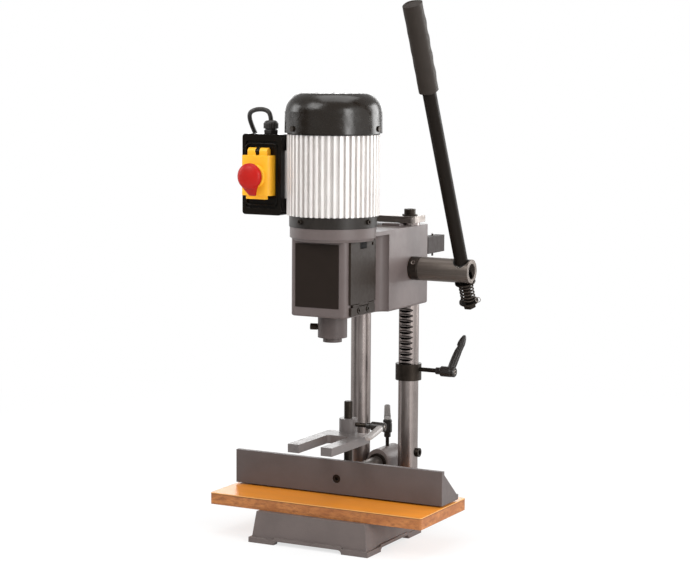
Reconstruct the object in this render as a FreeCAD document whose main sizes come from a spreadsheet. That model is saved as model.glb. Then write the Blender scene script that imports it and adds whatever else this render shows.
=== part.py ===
"""Benchtop mortiser: a parametric FreeCAD document, one object for each separate piece.

Millimetres. +X is the operator's right, +Y runs from the front to the back and +Z is up. The origin
is the centre of the four bench bolts, on the underside of the base. Every driving size stands once in
DIMENSIONS, goes into the spreadsheet under the same name, and reaches the pieces by expressions.
"""

import FreeCAD, Part

import math
import operator
import os

import Sketcher

from FreeCAD import Placement, Rotation, Vector

DIMENSIONS = {
    # Fits
    "running_gap": 0.05,
    "air_gap": 0.3,
    "thread_gap": 0.04,
    # Base casting
    "base_half_width": 97.6,
    "base_half_depth": 87.2,
    "base_height": 47.0,
    "base_draft": 5.0,
    "base_wall": 7.0,
    "base_roof": 8.0,
    "lip_reach": 4.0,
    "lip_height": 8.0,
    "lip_rise": 2.5,
    "arch_height": 6.0,
    "foot_length": 44.0,
    "bench_bolt_x": 84.0,
    "bench_bolt_y": 73.0,
    "bench_bolt_hole": 4.25,
    "bench_bolt_boss": 9.5,
    "bench_bolt_depth": 24.0,
    "tail_half_width": 67.5,
    "tail_back": 199.0,
    "tail_height": 42.0,
    "tail_overlap": 6.0,
    "socket_radius": 25.0,
    "socket_top": 72.0,
    "socket_floor": 8.0,
    "lug_half_width": 18.0,
    "lug_front": 140.0,
    "lug_back": 199.0,
    "lug_crown": 95.0,
    "set_screw_radius": 4.0,
    "set_screw_length": 12.0,
    "set_screw_height": 58.0,
    "stop_screw_height": 110.0,
    "stop_screw_head": 7.2,
    "stop_screw_proud": 5.0,
    # Table board
    "table_half_width": 180.0,
    "table_front": -73.6,
    "table_depth": 156.2,
    "table_thickness": 18.0,
    "table_corner": 3.0,
    "table_screw_x": 60.0,
    "table_screw_y": 50.0,
    "table_screw_radius": 2.5,
    "table_screw_head": 5.5,
    "table_screw_bite": 11.0,
    # Columns and tie plate
    "column_x": 42.5,
    "column_y": 162.0,
    "column_radius": 15.9,
    "column_top": 476.0,
    "tie_half_width": 60.5,
    "tie_half_depth": 23.5,
    "tie_thickness": 10.2,
    "tie_corner": 7.0,
    "tie_bolt_radius": 6.0,
    "tie_bolt_bite": 26.0,
    "tie_bolt_head": 9.0,
    "tie_bolt_head_height": 8.4,
    "tie_washer_radius": 12.0,
    "tie_washer_thickness": 2.0,
    # Rack and pinion
    "tooth_module": 2.75,
    "pressure_angle": 25.0,
    "addendum_factor": 0.8,
    "dedendum_factor": 1.05,
    "tooth_play": 0.24,
    "pinion_teeth": 11,
    "pinion_width": 24.0,
    "rack_flat": 0.5,
    "rack_gaps_below": 18,
    "rack_gaps_above": 2,
    "pinion_pocket": 0.6,
    "pinion_height": 406.8,
    "shaft_radius": 9.0,
    "shaft_end": 134.0,
    # Head casting
    "spindle_y": -13.7,
    "head_bottom": 346.5,
    "head_front": -58.7,
    "head_half_width": 45.9,
    "head_left_width": 49.3,
    "head_corner": 9.0,
    "cove_start": 38.5,
    "rear_half_width": 61.1,
    "head_back": 193.0,
    "head_back_corner": 6.0,
    "roof_underside": 465.2,
    "roof_top": 471.6,
    "ledge_front": 7.3,
    "flange_radius": 65.0,
    "flange_bottom": 464.0,
    "flange_neck": 4.0,
    "pad_left": 13.0,
    "pad_width": 30.0,
    "pad_front": 124.0,
    "pad_depth": 14.0,
    "pad_height": 3.4,
    "flange_top": 480.0,
    "chamber_floor": 366.5,
    "chamber_ceiling": 452.0,
    "chamber_front": -44.0,
    "chamber_back": 25.5,
    "chamber_left": -38.9,
    "head_bottom_round": 3.5,
    "spindle_hole": 12.0,
    # Chisel holder
    "collar_radius": 22.2,
    "collar_bottom": 312.0,
    "spigot_radius": 15.0,
    "chisel_bore": 9.525,
    "chisel_bush_radius": 14.4,
    "chisel_bush_bottom": 305.0,
    "chisel_sleeve": 12.5,
    "chisel_sleeve_top": 346.0,
    "lock_turn": 15.6,
    "lock_screw_start": 23.5,
    "lock_screw_height": 327.0,
    "lock_screw_radius": 3.0,
    "lock_screw_head": 4.9,
    "lock_screw_head_length": 10.5,
    # Chamber door
    "door_front": -49.9,
    "door_back": 31.0,
    "door_height": 95.1,
    "door_thickness": 3.5,
    "door_notch_y": -6.5,
    "door_notch_half": 8.0,
    "door_notch_depth": 10.0,
    "hinge_height": 364.4,
    "hinge_radius": 2.0,
    "hinge_pin_radius": 1.0,
    "hinge_front": -43.0,
    "hinge_back": 27.0,
    "hinge_knuckle": 20.0,
    "hinge_block_drop": 14.9,
    "hinge_clear": 0.4,
    "hinge_screw_drop": 8.1,
    "hinge_screw_bite": 12.0,
    "hinge_screw_spread": 28.6,
    "hinge_screw_radius": 2.5,
    "hinge_screw_head": 4.2,
    "hinge_screw_sunk": 2.2,
    # Name plate place
    "plate_bottom": 361.0,
    "plate_left": -39.2,
    "plate_right": 34.1,
    "plate_top": 456.5,
    "plate_thickness": 0.8,
    # Motor
    "motor_ring_radius": 66.0,
    "motor_ring_top": 497.0,
    "fin_radius": 69.8,
    "fin_root": 64.6,
    "fin_count": 48,
    "fin_thickness": 3.6,
    "barrel_bore": 58.0,
    "barrel_top": 613.5,
    "saddle_half_depth": 18.0,
    "saddle_low": 520.0,
    "saddle_high": 592.0,
    "stator_bore": 34.0,
    "stator_low": 520.0,
    "stator_high": 590.0,
    "rotor_air": 0.5,
    "spindle_radius": 8.0,
    "bearing_radius": 17.5,
    "bearing_height": 11.0,
    "lower_bearing": 468.0,
    "shaft_bottom": 436.0,
    "shaft_top": 652.0,
    "shield_rim": 633.0,
    "shield_radius": 70.2,
    "shield_wall": 4.5,
    "cap_radius": 73.0,
    "cap_bottom": 614.0,
    "cap_shoulder": 652.0,
    "cap_round": 20.0,
    "cap_arc": 30.0,
    "cap_top": 679.0,
    "cap_wall": 2.4,
    "vent_slots": 20,
    "vent_inner": 24.0,
    "vent_outer": 48.0,
    "vent_width": 4.0,
    "cap_screw_height": 627.0,
    "cap_screw_turn": -117.0,
    "cap_screws": 3,
    "cap_screw_radius": 2.4,
    "cap_screw_head": 4.2,
    "fan_radius": 62.0,
    "fan_blades": 8,
    "fan_low": 637.0,
    "fan_height": 17.0,
    "chuck_radius": 17.0,
    "chuck_low": 374.0,
    "chuck_high": 434.0,
    "chuck_nose": 8.0,
    "chuck_mouth": 6.0,
    "chuck_flute": 2.0,
    "chuck_flutes": 12,
    # Switch
    "box_left": -140.4,
    "box_right": -73.4,
    "box_front": -43.7,
    "box_back": 8.3,
    "box_low": 494.5,
    "box_high": 616.5,
    "box_corner": 5.0,
    "box_wall": 2.5,
    "bezel_side": 5.8,
    "bezel_end": 10.0,
    "bezel_depth": 3.0,
    "flap_left": -131.9,
    "flap_right": -83.7,
    "flap_low": 524.4,
    "flap_high": 584.9,
    "flap_reach": 20.0,
    "flap_gap": 0.5,
    "flap_corner": 3.0,
    "flap_lip": 5.4,
    "flap_wall": 2.0,
    "flap_axis_height": 590.5,
    "flap_knuckle": 5.5,
    "flap_knuckle_width": 11.4,
    "flap_ear_left": -126.0,
    "flap_ear_right": -94.6,
    "flap_axis_y": -47.5,
    "flap_pin_radius": 1.6,
    "button_width": 20.0,
    "button_height": 17.0,
    "button_proud": 7.0,
    "button_well": 12.0,
    "button_corner": 2.0,
    "stop_button_z": 545.0,
    "start_button_z": 568.5,
    "mushroom_radius": 17.6,
    "mushroom_height": 554.2,
    "mushroom_reach": 17.5,
    "mushroom_thickness": 9.0,
    "mushroom_round": 4.0,
    "mushroom_stem": 6.0,
    "mushroom_x": -107.5,
    "press_travel": 4.0,
    "tongue_width": 13.5,
    "tongue_low": 526.6,
    "gland_x": -103.8,
    "gland_y": -20.7,
    "gland_radius": 10.3,
    "gland_flange": 6.5,
    "gland_neck": 2.4,
    "gland_nut": 7.5,
    "gland_dome": 3.2,
    "gland_grooves": 12,
    # Operating lever
    "hub_gap": 0.3,
    "hub_ring_length": 24.7,
    "grub_place": 8.0,
    "grub_radius": 2.5,
    "hub_radius": 18.4,
    "hub_bore": 12.0,
    "hub_end": 162.8,
    "rod_plane": 148.0,
    "rod_lean": 24.9,
    "rod_radius": 10.4,
    "rod_neck": 6.0,
    "rod_shoulder": 15.0,
    "rod_seat": 14.6,
    "spring_seat": 16.5,
    "rod_tail": 66.0,
    "grip_start": 305.0,
    "grip_end": 444.0,
    "grip_radius": 15.0,
    "grip_swell": 1.4,
    "grip_waves": 4,
    "lever_spring_wire": 1.2,
    "lever_spring_coil": 9.2,
    "lever_spring_turns": 4.5,
    "lever_spring_end": 44.5,
    "lever_washer_radius": 15.8,
    "lever_washer_thickness": 2.6,
    "lever_nut_flat": 10.0,
    "lever_nut_length": 9.0,
    "split_pin_wire": 1.3,
    "split_pin_reach": 14.5,
    # Fence and its bar
    "fence_inset": 1.7,
    "fence_front": 1.1,
    "fence_lift": 2.5,
    "fence_height": 52.2,
    "fence_foot": 58.7,
    "fence_wall": 8.0,
    "fence_rib": 6.0,
    "fence_rib_x": 88.0,
    "bar_height": 91.0,
    "bar_radius": 11.0,
    "bar_boss": 17.0,
    "bar_boss_back": 24.9,
    "bar_end": 206.0,
    "bar_bush_radius": 15.2,
    "bar_bush_length": 12.0,
    "bar_bush_proud": 3.0,
    "fence_screw_radius": 4.0,
    "fence_screw_head": 6.5,
    "fence_screw_head_height": 6.0,
    "fence_screw_recess": 0.5,
    "fence_screw_bite": 22.0,
    # Hold-down
    "post_y": 39.3,
    "post_radius": 6.5,
    "post_top": 206.0,
    "post_depth": 18.0,
    "fork_bottom": 143.6,
    "fork_thickness": 13.0,
    "fork_half_width": 37.4,
    "fork_gap_half": 18.7,
    "fork_collar_radius": 14.0,
    "fork_collar_top": 179.5,
    "fork_front": -84.0,
    "fork_back": 46.0,
    "fork_gap_end": 8.0,
    "fork_corner": 8.0,
    "fork_gap_corner": 6.0,
    # Clamp levers
    "clamp_socket": 12.0,
    "clamp_chamfer": 1.5,
    "clamp_arm_root": 5.0,
    "clamp_arm_tip": 4.5,
    "clamp_arm_half": 4.2,
    "depth_collar_radius": 20.6,
    "depth_collar_low": 226.0,
    "depth_collar_height": 26.0,
    "depth_stud_height": 243.5,
    "depth_stud_radius": 3.4,
    "depth_hub_start": 90.5,
    "depth_hub_end": 124.0,
    "depth_hub_radius": 8.3,
    "depth_arm_length": 59.5,
    "depth_arm_lean": 8.0,
    "depth_arm_turn": 19.7,
    "fork_stud_height": 170.5,
    "fork_stud_radius": 3.4,
    "fork_hub_start": 32.0,
    "fork_hub_end": 64.0,
    "fork_hub_radius": 7.2,
    "fork_arm_length": 45.0,
    "fork_arm_dip": 13.3,
    "bar_stud_y": 174.3,
    "bar_stud_radius": 2.9,
    "bar_hub_radius": 7.4,
    "bar_arm_rise": 24.0,
    "bar_hub_low": 127.0,
    "bar_hub_high": 157.0,
    "bar_arm_length": 20.0,
    # Return spring at the left end of the pinion shaft
    "spring_case_radius": 29.0,
    "spring_case_depth": 17.0,
    "spring_case_wall": 2.5,
    "spring_strip": 1.2,
    "spring_turns": 4,
    "spring_inner": 11.0,
    "spring_pitch": 3.2,
    # Tool rack behind the head
    "rack_plate_x": 58.0,
    "rack_plate_back": 253.5,
    "rack_plate_low": 423.5,
    "rack_plate_high": 450.0,
    "rack_sheet": 2.0,
    "rack_lip": 14.0,
    "key_radius": 1.6,
    "key_y": 227.5,
    "key_short_arm": 16.0,
    "key_turn": 28.0,
    "key_drop": 34.0,
    # Power cord
    "cord_radius": 3.5,
    "coil_radius": 42.0,
    "coil_x": 0.0,
    "coil_y": 278.0,
    "plug_half_width": 25.0,
    "plug_length": 50.0,
    "plug_depth": 22.0,
    "plug_corner": 6.0,
    "plug_taper": 3.0,
    "plug_boot": 4.5,
    "plug_boot_length": 18.0,
    "pin_width": 7.0,
    "pin_thickness": 4.0,
    "pin_reach": 20.0,
    "pin_spread": 11.0,
}

ALONG = {
    "X": Rotation(Vector(0, 1, 0), 90),
    "Y": Rotation(Vector(1, 0, 0), -90),
    "Z": Rotation(),
}
PLANES = {"XY": "XY_Plane", "XZ": "XZ_Plane", "YZ": "YZ_Plane"}
SIGNS = {"+": operator.add, "-": operator.sub, "*": operator.mul, "/": operator.truediv}

doc = FreeCAD.newDocument("mortiser")
nodes = []


class Size:
    """A length or angle worked out from the sheet: its number, and the expression that gives it."""

    def __init__(self, number, text):
        self.number = number
        self.text = text

    def join(self, sign, other, swapped=False):
        """This size and another one, or a plain number, joined by one of the four signs."""
        first, second = sized(self), sized(other)
        if swapped:
            first, second = second, first
        result = SIGNS[sign](first.number, second.number)
        return Size(result, f"({first.text} {sign} {second.text})")

    def __add__(self, other):
        return self.join("+", other)

    def __radd__(self, other):
        return self.join("+", other, swapped=True)

    def __sub__(self, other):
        return self.join("-", other)

    def __rsub__(self, other):
        return self.join("-", other, swapped=True)

    def __mul__(self, other):
        return self.join("*", other)

    def __rmul__(self, other):
        return self.join("*", other, swapped=True)

    def __truediv__(self, other):
        return self.join("/", other)

    def __rtruediv__(self, other):
        return self.join("/", other, swapped=True)

    def __neg__(self):
        return self.join("*", -1.0)


class Sheet:
    """The spreadsheet, read as sizes: sheet.column_x is that cell."""

    def __init__(self):
        self.cells = doc.addObject("Spreadsheet::Sheet", "sizes")
        for row, (name, value) in enumerate(DIMENSIONS.items(), start=1):
            self.cells.set(f"A{row}", name)
            self.cells.set(f"B{row}", str(value))
            self.cells.setAlias(f"B{row}", name)
        doc.recompute()

    def __getattr__(self, name):
        return Size(float(DIMENSIONS[name]), f"sizes.{name}")


def sized(value):
    """A size as it is, and a plain number as a size."""
    if isinstance(value, Size):
        return value
    return Size(float(value), f"({float(value)!r})")


def bind(thing, prop, value):
    """Ties a property of a document object to a size."""
    thing.setExpression(prop, sized(value).text)


def stand(thing, at, along="Z"):
    """Puts a shape that grows along its own Z at a point, growing along the axis named."""
    thing.Placement = Placement(Vector(), ALONG[along])
    for axis, value in zip("xyz", at):
        bind(thing, f"Placement.Base.{axis}", value)
    return thing


def make_box(thing, xs, ys, zs):
    """Gives a box object its low and high faces on the three axes."""
    for prop, (low, high) in zip(("Length", "Width", "Height"), (xs, ys, zs)):
        bind(thing, prop, sized(high) - low)
    return stand(thing, (xs[0], ys[0], zs[0]))


def make_cylinder(thing, radius, length, at, along="Z"):
    """Gives a cylinder object its size and stands it at a point."""
    bind(thing, "Radius", radius)
    bind(thing, "Height", length)
    return stand(thing, at, along)


def box(xs, ys, zs):
    """A loose box between low and high faces."""
    return make_box(doc.addObject("Part::Box", "block"), xs, ys, zs)


def cylinder(radius, length, at, along="Z"):
    """A loose cylinder that grows from a point along an axis."""
    return make_cylinder(doc.addObject("Part::Cylinder", "round"), radius, length, at, along)


def cone(radius_low, radius_high, length, at, along="Z"):
    """A loose cone that grows from a point along an axis."""
    thing = doc.addObject("Part::Cone", "taper")
    bind(thing, "Radius1", radius_low)
    bind(thing, "Radius2", radius_high)
    bind(thing, "Height", length)
    return stand(thing, at, along)


def hexagon(flat_radius, length, at, along="Z"):
    """A loose hexagonal prism, given by the radius of the circle inside it."""
    thing = doc.addObject("Part::Prism", "hexagon")
    thing.Polygon = 6
    bind(thing, "Circumradius", flat_radius / math.cos(math.radians(30)))
    bind(thing, "Height", length)
    return stand(thing, at, along)


def fuse(*shapes):
    """Several loose shapes joined into one solid."""
    thing = doc.addObject("Part::MultiFuse", "joined")
    thing.Shapes = list(shapes)
    return thing


def cut(base, *tools):
    """A loose shape with others cut out of it."""
    thing = doc.addObject("Part::Cut", "trimmed")
    thing.Base = base
    thing.Tool = tools[0] if len(tools) == 1 else fuse(*tools)
    return thing


def group(shapes):
    """Several separate solids kept as one node."""
    thing = doc.addObject("Part::Compound", "set")
    thing.Links = list(shapes)
    return thing


def shaped(shape):
    """A document object that holds a shape made with Part's own functions."""
    thing = doc.addObject("Part::Feature", "formed")
    thing.Shape = shape
    return thing


def node(label, thing):
    """Names a finished sub-part and puts it on the list to be written."""
    thing.Label = label
    nodes.append(thing)
    return thing


class Piece:
    """One PartDesign body, with short calls for the features that shape it."""

    def __init__(self, label):
        self.body = doc.addObject("PartDesign::Body", "piece")
        node(label, self.body)

    def feature(self, kind):
        """A new feature of the body."""
        return self.body.newObject("PartDesign::" + kind, kind)

    def box(self, xs, ys, zs):
        """Adds a box."""
        return make_box(self.feature("AdditiveBox"), xs, ys, zs)

    def cut_box(self, xs, ys, zs):
        """Cuts a box out."""
        return make_box(self.feature("SubtractiveBox"), xs, ys, zs)

    def cylinder(self, radius, length, at, along="Z"):
        """Adds a cylinder."""
        return make_cylinder(self.feature("AdditiveCylinder"), radius, length, at, along)

    def cut_cylinder(self, radius, length, at, along="Z"):
        """Cuts a cylinder out."""
        return make_cylinder(self.feature("SubtractiveCylinder"), radius, length, at, along)

    def sketch(self, plane, offset=0.0):
        """An empty sketch on one of the body's own planes, moved along that plane's normal."""
        thing = self.body.newObject("Sketcher::SketchObject", "outline")
        role = PLANES[plane]
        origin_plane = [part for part in self.body.Origin.OriginFeatures if part.Role == role][0]
        thing.AttachmentSupport = (origin_plane, [""])
        thing.MapMode = "FlatFace"
        bind(thing, "AttachmentOffset.Base.z", offset)
        return thing

    def outline(self, plane, path, offset=0.0):
        """A sketch with one closed outline. Each entry of the path is a corner (x, y), or
        (x, y, radius, side) where the run to the next corner is an arc: side is 1 when the arc
        bulges to the right of the way from this corner to the next, and -1 when to the left."""
        thing = self.sketch(plane, offset)
        corners = [(sized(entry[0]), sized(entry[1])) for entry in path]
        count = len(corners)
        for index, entry in enumerate(path):
            start = Vector(corners[index][0].number, corners[index][1].number, 0)
            after = corners[(index + 1) % count]
            end = Vector(after[0].number, after[1].number, 0)
            if len(entry) == 2:
                thing.addGeometry(Part.LineSegment(start, end), False)
            else:
                middle = arc_middle(start, end, sized(entry[2]).number, entry[3])
                arc = Part.Arc(start, middle, end)
                thing.addGeometry(arc, False)
        for index, entry in enumerate(path):
            after = (index + 1) % count
            joint = Sketcher.Constraint(
                "Coincident", index, end_point(path, index, 2), after, end_point(path, after, 1)
            )
            thing.addConstraint(joint)
            for kind, value in zip(("DistanceX", "DistanceY"), corners[index]):
                rule = Sketcher.Constraint(
                    kind, -1, 1, index, end_point(path, index, 1), value.number
                )
                number = thing.addConstraint(rule)
                bind(thing, f"Constraints[{number}]", value)
            if len(entry) == 4:
                radius = sized(entry[2])
                number = thing.addConstraint(Sketcher.Constraint("Radius", index, radius.number))
                bind(thing, f"Constraints[{number}]", radius)
        return thing

    def circle(self, plane, radius, offset=0.0, centre=(0.0, 0.0)):
        """A sketch with one circle."""
        thing = self.sketch(plane, offset)
        middle = Vector(sized(centre[0]).number, sized(centre[1]).number, 0)
        thing.addGeometry(Part.Circle(middle, Vector(0, 0, 1), sized(radius).number), False)
        number = thing.addConstraint(Sketcher.Constraint("Radius", 0, sized(radius).number))
        bind(thing, f"Constraints[{number}]", radius)
        for kind, value in zip(("DistanceX", "DistanceY"), centre):
            rule = Sketcher.Constraint(kind, -1, 1, 0, 3, sized(value).number)
            number = thing.addConstraint(rule)
            bind(thing, f"Constraints[{number}]", value)
        return thing

    def pad(self, plane, path, low, high):
        """Adds the outline's prism between two planes."""
        start = -sized(high) if plane == "XZ" else sized(low)
        thing = self.feature("Pad")
        thing.Profile = self.outline(plane, path, start)
        bind(thing, "Length", sized(high) - low)
        return thing

    def pocket(self, plane, path, low, high):
        """Cuts the outline's prism between two planes."""
        start = -sized(low) if plane == "XZ" else sized(high)
        thing = self.feature("Pocket")
        thing.Profile = self.outline(plane, path, start)
        bind(thing, "Length", sized(high) - low)
        return thing

    def revolve(self, path, cut_out=False):
        """Turns an outline of (radius, height) corners about the body's Z axis."""
        thing = self.feature("Groove" if cut_out else "Revolution")
        profile = self.outline("XZ", path)
        thing.Profile = profile
        thing.ReferenceAxis = (profile, ["V_Axis"])
        thing.Angle = 360
        return thing

    def loft(self, sections, cut_out=False):
        """Joins sketches, from the first to the last, by one smooth or ruled skin."""
        thing = self.feature("SubtractiveLoft" if cut_out else "AdditiveLoft")
        thing.Profile = sections[0]
        thing.Sections = sections[1:]
        return thing

    def round_edges(self, radius, chosen):
        """Rounds the edges of the body so far that a test picks by their two ends."""
        doc.recompute()
        tip = self.body.Tip
        names = []
        for index, edge in enumerate(tip.Shape.Edges, start=1):
            if len(edge.Vertexes) == 2 and chosen(edge.Vertexes[0].Point, edge.Vertexes[1].Point):
                names.append(f"Edge{index}")
        thing = self.feature("Fillet")
        thing.Base = (tip, names)
        bind(thing, "Radius", radius)
        return thing

    def along_z(self, feature, length, count):
        """Repeats a feature along the body's Z axis, from its first place to a length above it."""
        thing = self.body.newObject("PartDesign::LinearPattern", "LinearPattern")
        thing.Originals = [feature]
        axis = [part for part in self.body.Origin.OriginFeatures if part.Role == "Z_Axis"][0]
        thing.Direction = (axis, [""])
        bind(thing, "Length", length)
        thing.Occurrences = int(sized(count).number)
        self.body.Tip = thing
        return thing

    def around_z(self, feature, count):
        """Repeats a feature evenly round the body's Z axis."""
        thing = self.body.newObject("PartDesign::PolarPattern", "PolarPattern")
        thing.Originals = [feature]
        axis = [part for part in self.body.Origin.OriginFeatures if part.Role == "Z_Axis"][0]
        thing.Axis = (axis, [""])
        thing.Angle = 360
        thing.Occurrences = int(sized(count).number)
        self.body.Tip = thing
        return thing

    def at(self, x, y, z):
        """Places the whole body."""
        return stand(self.body, (x, y, z))


def arc_middle(start, end, radius, side):
    """The middle point of the short arc from start to end that bulges to one side."""
    chord = end - start
    half = chord.Length / 2
    sagitta = radius - math.sqrt(max(radius * radius - half * half, 0.0))
    right = Vector(chord.y, -chord.x, 0)
    right.normalize()
    return (start + end) * 0.5 + right * (sagitta * side)


def end_point(path, index, wanted):
    """Which end of a sketch edge is its start (1) or end (2). A clockwise arc is stored reversed."""
    entry = path[index]
    if len(entry) == 4 and entry[3] < 0:
        return 3 - wanted
    return wanted


def rectangle(xs, ys):
    """The four corners of a rectangle."""
    return [(xs[0], ys[0]), (xs[1], ys[0]), (xs[1], ys[1]), (xs[0], ys[1])]


def rounded_rectangle(xs, ys, radius):
    """A rectangle's outline with its four corners rounded."""
    (left, right), (low, high) = [(sized(pair[0]), sized(pair[1])) for pair in (xs, ys)]
    return [
        (left + radius, low),
        (right - radius, low, radius, 1),
        (right, low + radius),
        (right, high - radius, radius, 1),
        (right - radius, high),
        (left + radius, high, radius, 1),
        (left, high - radius),
        (left, low + radius, radius, 1),
    ]


sheet = Sheet()
s = sheet
PAST = 1.0  # how far a cutter reaches beyond the face it starts from


def both_sides(half):
    """The span from minus a half width to plus it."""
    return (-sized(half), sized(half))


def oriented(thing, at, along, arm):
    """Puts a piece at a point, its own Z along one direction and its own X along another."""
    along, arm = Vector(*along), Vector(*arm)
    thing.Placement = Placement(Vector(), Rotation(arm, along.cross(arm), along, "ZXY"))
    for axis, value in zip("xyz", at):
        bind(thing, f"Placement.Base.{axis}", value)
    return thing


def turned(thing, at, axis, angle):
    """Puts a piece at a point, turned about an axis by a size in degrees."""
    thing.Placement = Placement(Vector(), Rotation(Vector(*axis), sized(angle).number))
    for name, value in zip("xyz", at):
        bind(thing, f"Placement.Base.{name}", value)
    return thing


# ---- Base, table, columns -----------------------------------------------------------------------


def base_casting():
    """Hollow drafted box with a lip and arched feet, a tail with two column sockets, and a lug."""
    base = Piece("base_casting")
    half_x, half_y = s.base_half_width, s.base_half_depth
    lip_x, lip_y = half_x + s.lip_reach, half_y + s.lip_reach
    arch_x, arch_y = lip_x - s.foot_length, lip_y - s.foot_length
    lip_over_arch = s.lip_height + s.lip_rise
    base.box(both_sides(lip_x), both_sides(lip_y), (0, s.lip_height))
    base.box(both_sides(arch_x), both_sides(lip_y), (0, lip_over_arch))
    base.box(both_sides(lip_x), both_sides(arch_y), (0, lip_over_arch))
    top_x, top_y = half_x - s.base_draft, half_y - s.base_draft
    base.loft([
        base.outline("XY", rectangle(both_sides(half_x), both_sides(half_y)), s.lip_height),
        base.outline("XY", rectangle(both_sides(top_x), both_sides(top_y)), s.base_height),
    ])
    tail_front = half_y - s.tail_overlap
    base.box(both_sides(s.tail_half_width), (tail_front, s.tail_back), (0, s.tail_height))
    base.box(both_sides(s.lug_half_width), (s.lug_front, s.lug_back), (s.base_wall, s.lug_crown))
    base.cylinder(s.lug_half_width, s.lug_back - s.lug_front, (0, s.lug_front, s.lug_crown), "Y")

    inner_x, inner_y = half_x - s.base_wall, half_y - s.base_wall
    roof_under = s.base_height - s.base_roof
    base.loft([
        base.outline("XY", rectangle(both_sides(inner_x), both_sides(inner_y)), 0),
        base.outline(
            "XY",
            rectangle(both_sides(inner_x - s.base_draft), both_sides(inner_y - s.base_draft)),
            roof_under,
        ),
    ], cut_out=True)
    base.cut_box(
        both_sides(s.tail_half_width - s.base_wall),
        (half_y, s.lug_front - s.base_wall),
        (-PAST, s.tail_height - s.base_roof),
    )
    for side in (-1, 1):
        base.cylinder(s.socket_radius, s.socket_top, (s.column_x * side, s.column_y, 0))
        for end in (-1, 1):
            boss = (s.bench_bolt_x * side, s.bench_bolt_y * end)
            base.cylinder(s.bench_bolt_boss, roof_under + PAST, (*boss, 0))
            base.cut_cylinder(s.bench_bolt_hole, s.bench_bolt_depth + PAST, (*boss, -PAST))
            base.cut_cylinder(
                s.table_screw_radius + s.air_gap,
                s.base_roof + PAST * 2,
                (s.table_screw_x * side, s.table_screw_y * end, roof_under - PAST),
            )
    arch = s.arch_height
    for plane, half, reach in (("XZ", arch_x, lip_y), ("YZ", arch_y, lip_x)):
        base.pocket(plane, [
            (-half, -PAST), (half, -PAST), (half, 0, arch, 1), (half - arch, arch),
            (-half + arch, arch, arch, 1), (-half, 0),
        ], -reach - PAST, half_y + s.lip_reach + PAST if plane == "XZ" else reach + PAST)

    bore = s.column_radius + s.running_gap
    for side in (-1, 1):
        place = (s.column_x * side, s.column_y, s.socket_floor)
        base.cut_cylinder(bore, s.socket_top - s.socket_floor + PAST, place)
        base.cut_cylinder(
            s.set_screw_radius + s.thread_gap,
            s.socket_radius + PAST,
            (s.column_x * side, s.column_y, s.set_screw_height),
            "Y",
        )
    length = s.lug_back - s.lug_front + PAST * 2
    base.cut_cylinder(s.bar_radius + s.air_gap, length, (0, s.lug_front - PAST, s.bar_height), "Y")
    base.cut_cylinder(
        s.bar_bush_radius + s.thread_gap,
        s.bar_bush_length - s.bar_bush_proud + PAST,
        (0, s.lug_front - PAST, s.bar_height),
        "Y",
    )
    base.cut_cylinder(
        s.bar_stud_radius + s.running_gap,
        s.lug_crown + s.lug_half_width - s.bar_height + PAST,
        (0, s.bar_stud_y, s.bar_height),
    )


def table_board():
    """The work board, with blind holes for its four screws."""
    board = Piece("table_board")
    low = s.base_height + s.thread_gap
    front, back = s.table_front, s.table_front + s.table_depth
    outline = rounded_rectangle(both_sides(s.table_half_width), (front, back), s.table_corner)
    board.pad("XY", outline, low, s.base_height + s.table_thickness)
    for x in (-s.table_screw_x, s.table_screw_x):
        for y in (-s.table_screw_y, s.table_screw_y):
            board.cut_cylinder(
                s.table_screw_radius + s.thread_gap, s.table_screw_bite + PAST, (x, y, low - PAST)
            )


def table_screws():
    """Four countersunk screws that hold the board from inside the base."""
    under = s.base_height - s.base_roof - s.thread_gap
    screws = []
    for x in (-s.table_screw_x, s.table_screw_x):
        for y in (-s.table_screw_y, s.table_screw_y):
            shank = cylinder(
                s.table_screw_radius, s.base_roof + s.table_screw_bite, (x, y, under)
            )
            head = cone(
                s.table_screw_radius, s.table_screw_head, s.table_screw_radius,
                (x, y, under - s.table_screw_radius),
            )
            screws.append(fuse(shank, head))
    return screws


def column(label, side):
    """A column with a tapped hole in its top."""
    post = Piece(label)
    foot = s.socket_floor + s.thread_gap
    post.cylinder(s.column_radius, s.column_top - foot, (0, 0, foot))
    post.cut_cylinder(
        s.tie_bolt_radius + s.thread_gap,
        s.tie_bolt_bite + PAST * 2,
        (0, 0, s.column_top - s.tie_bolt_bite - PAST),
    )
    post.at(s.column_x * side, s.column_y, 0)
    return post


def rack_geometry():
    """Pitch, half width of a tooth gap at the pitch line, and the slope of a tooth's side."""
    pitch = s.tooth_module * math.pi
    half_gap = pitch / 4
    slope = math.tan(math.radians(s.pressure_angle.number))
    return pitch, half_gap, slope


def pitch_line():
    """How far the rack's pitch line lies in front of the column's axis, as a Y beside it."""
    tip = s.rack_flat - s.column_radius
    return tip + s.tooth_module * s.addendum_factor


def pinion_axis_y():
    """Y of the pinion's axis."""
    return s.column_y + pitch_line() - s.tooth_module * s.pinion_teeth / 2


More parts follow.
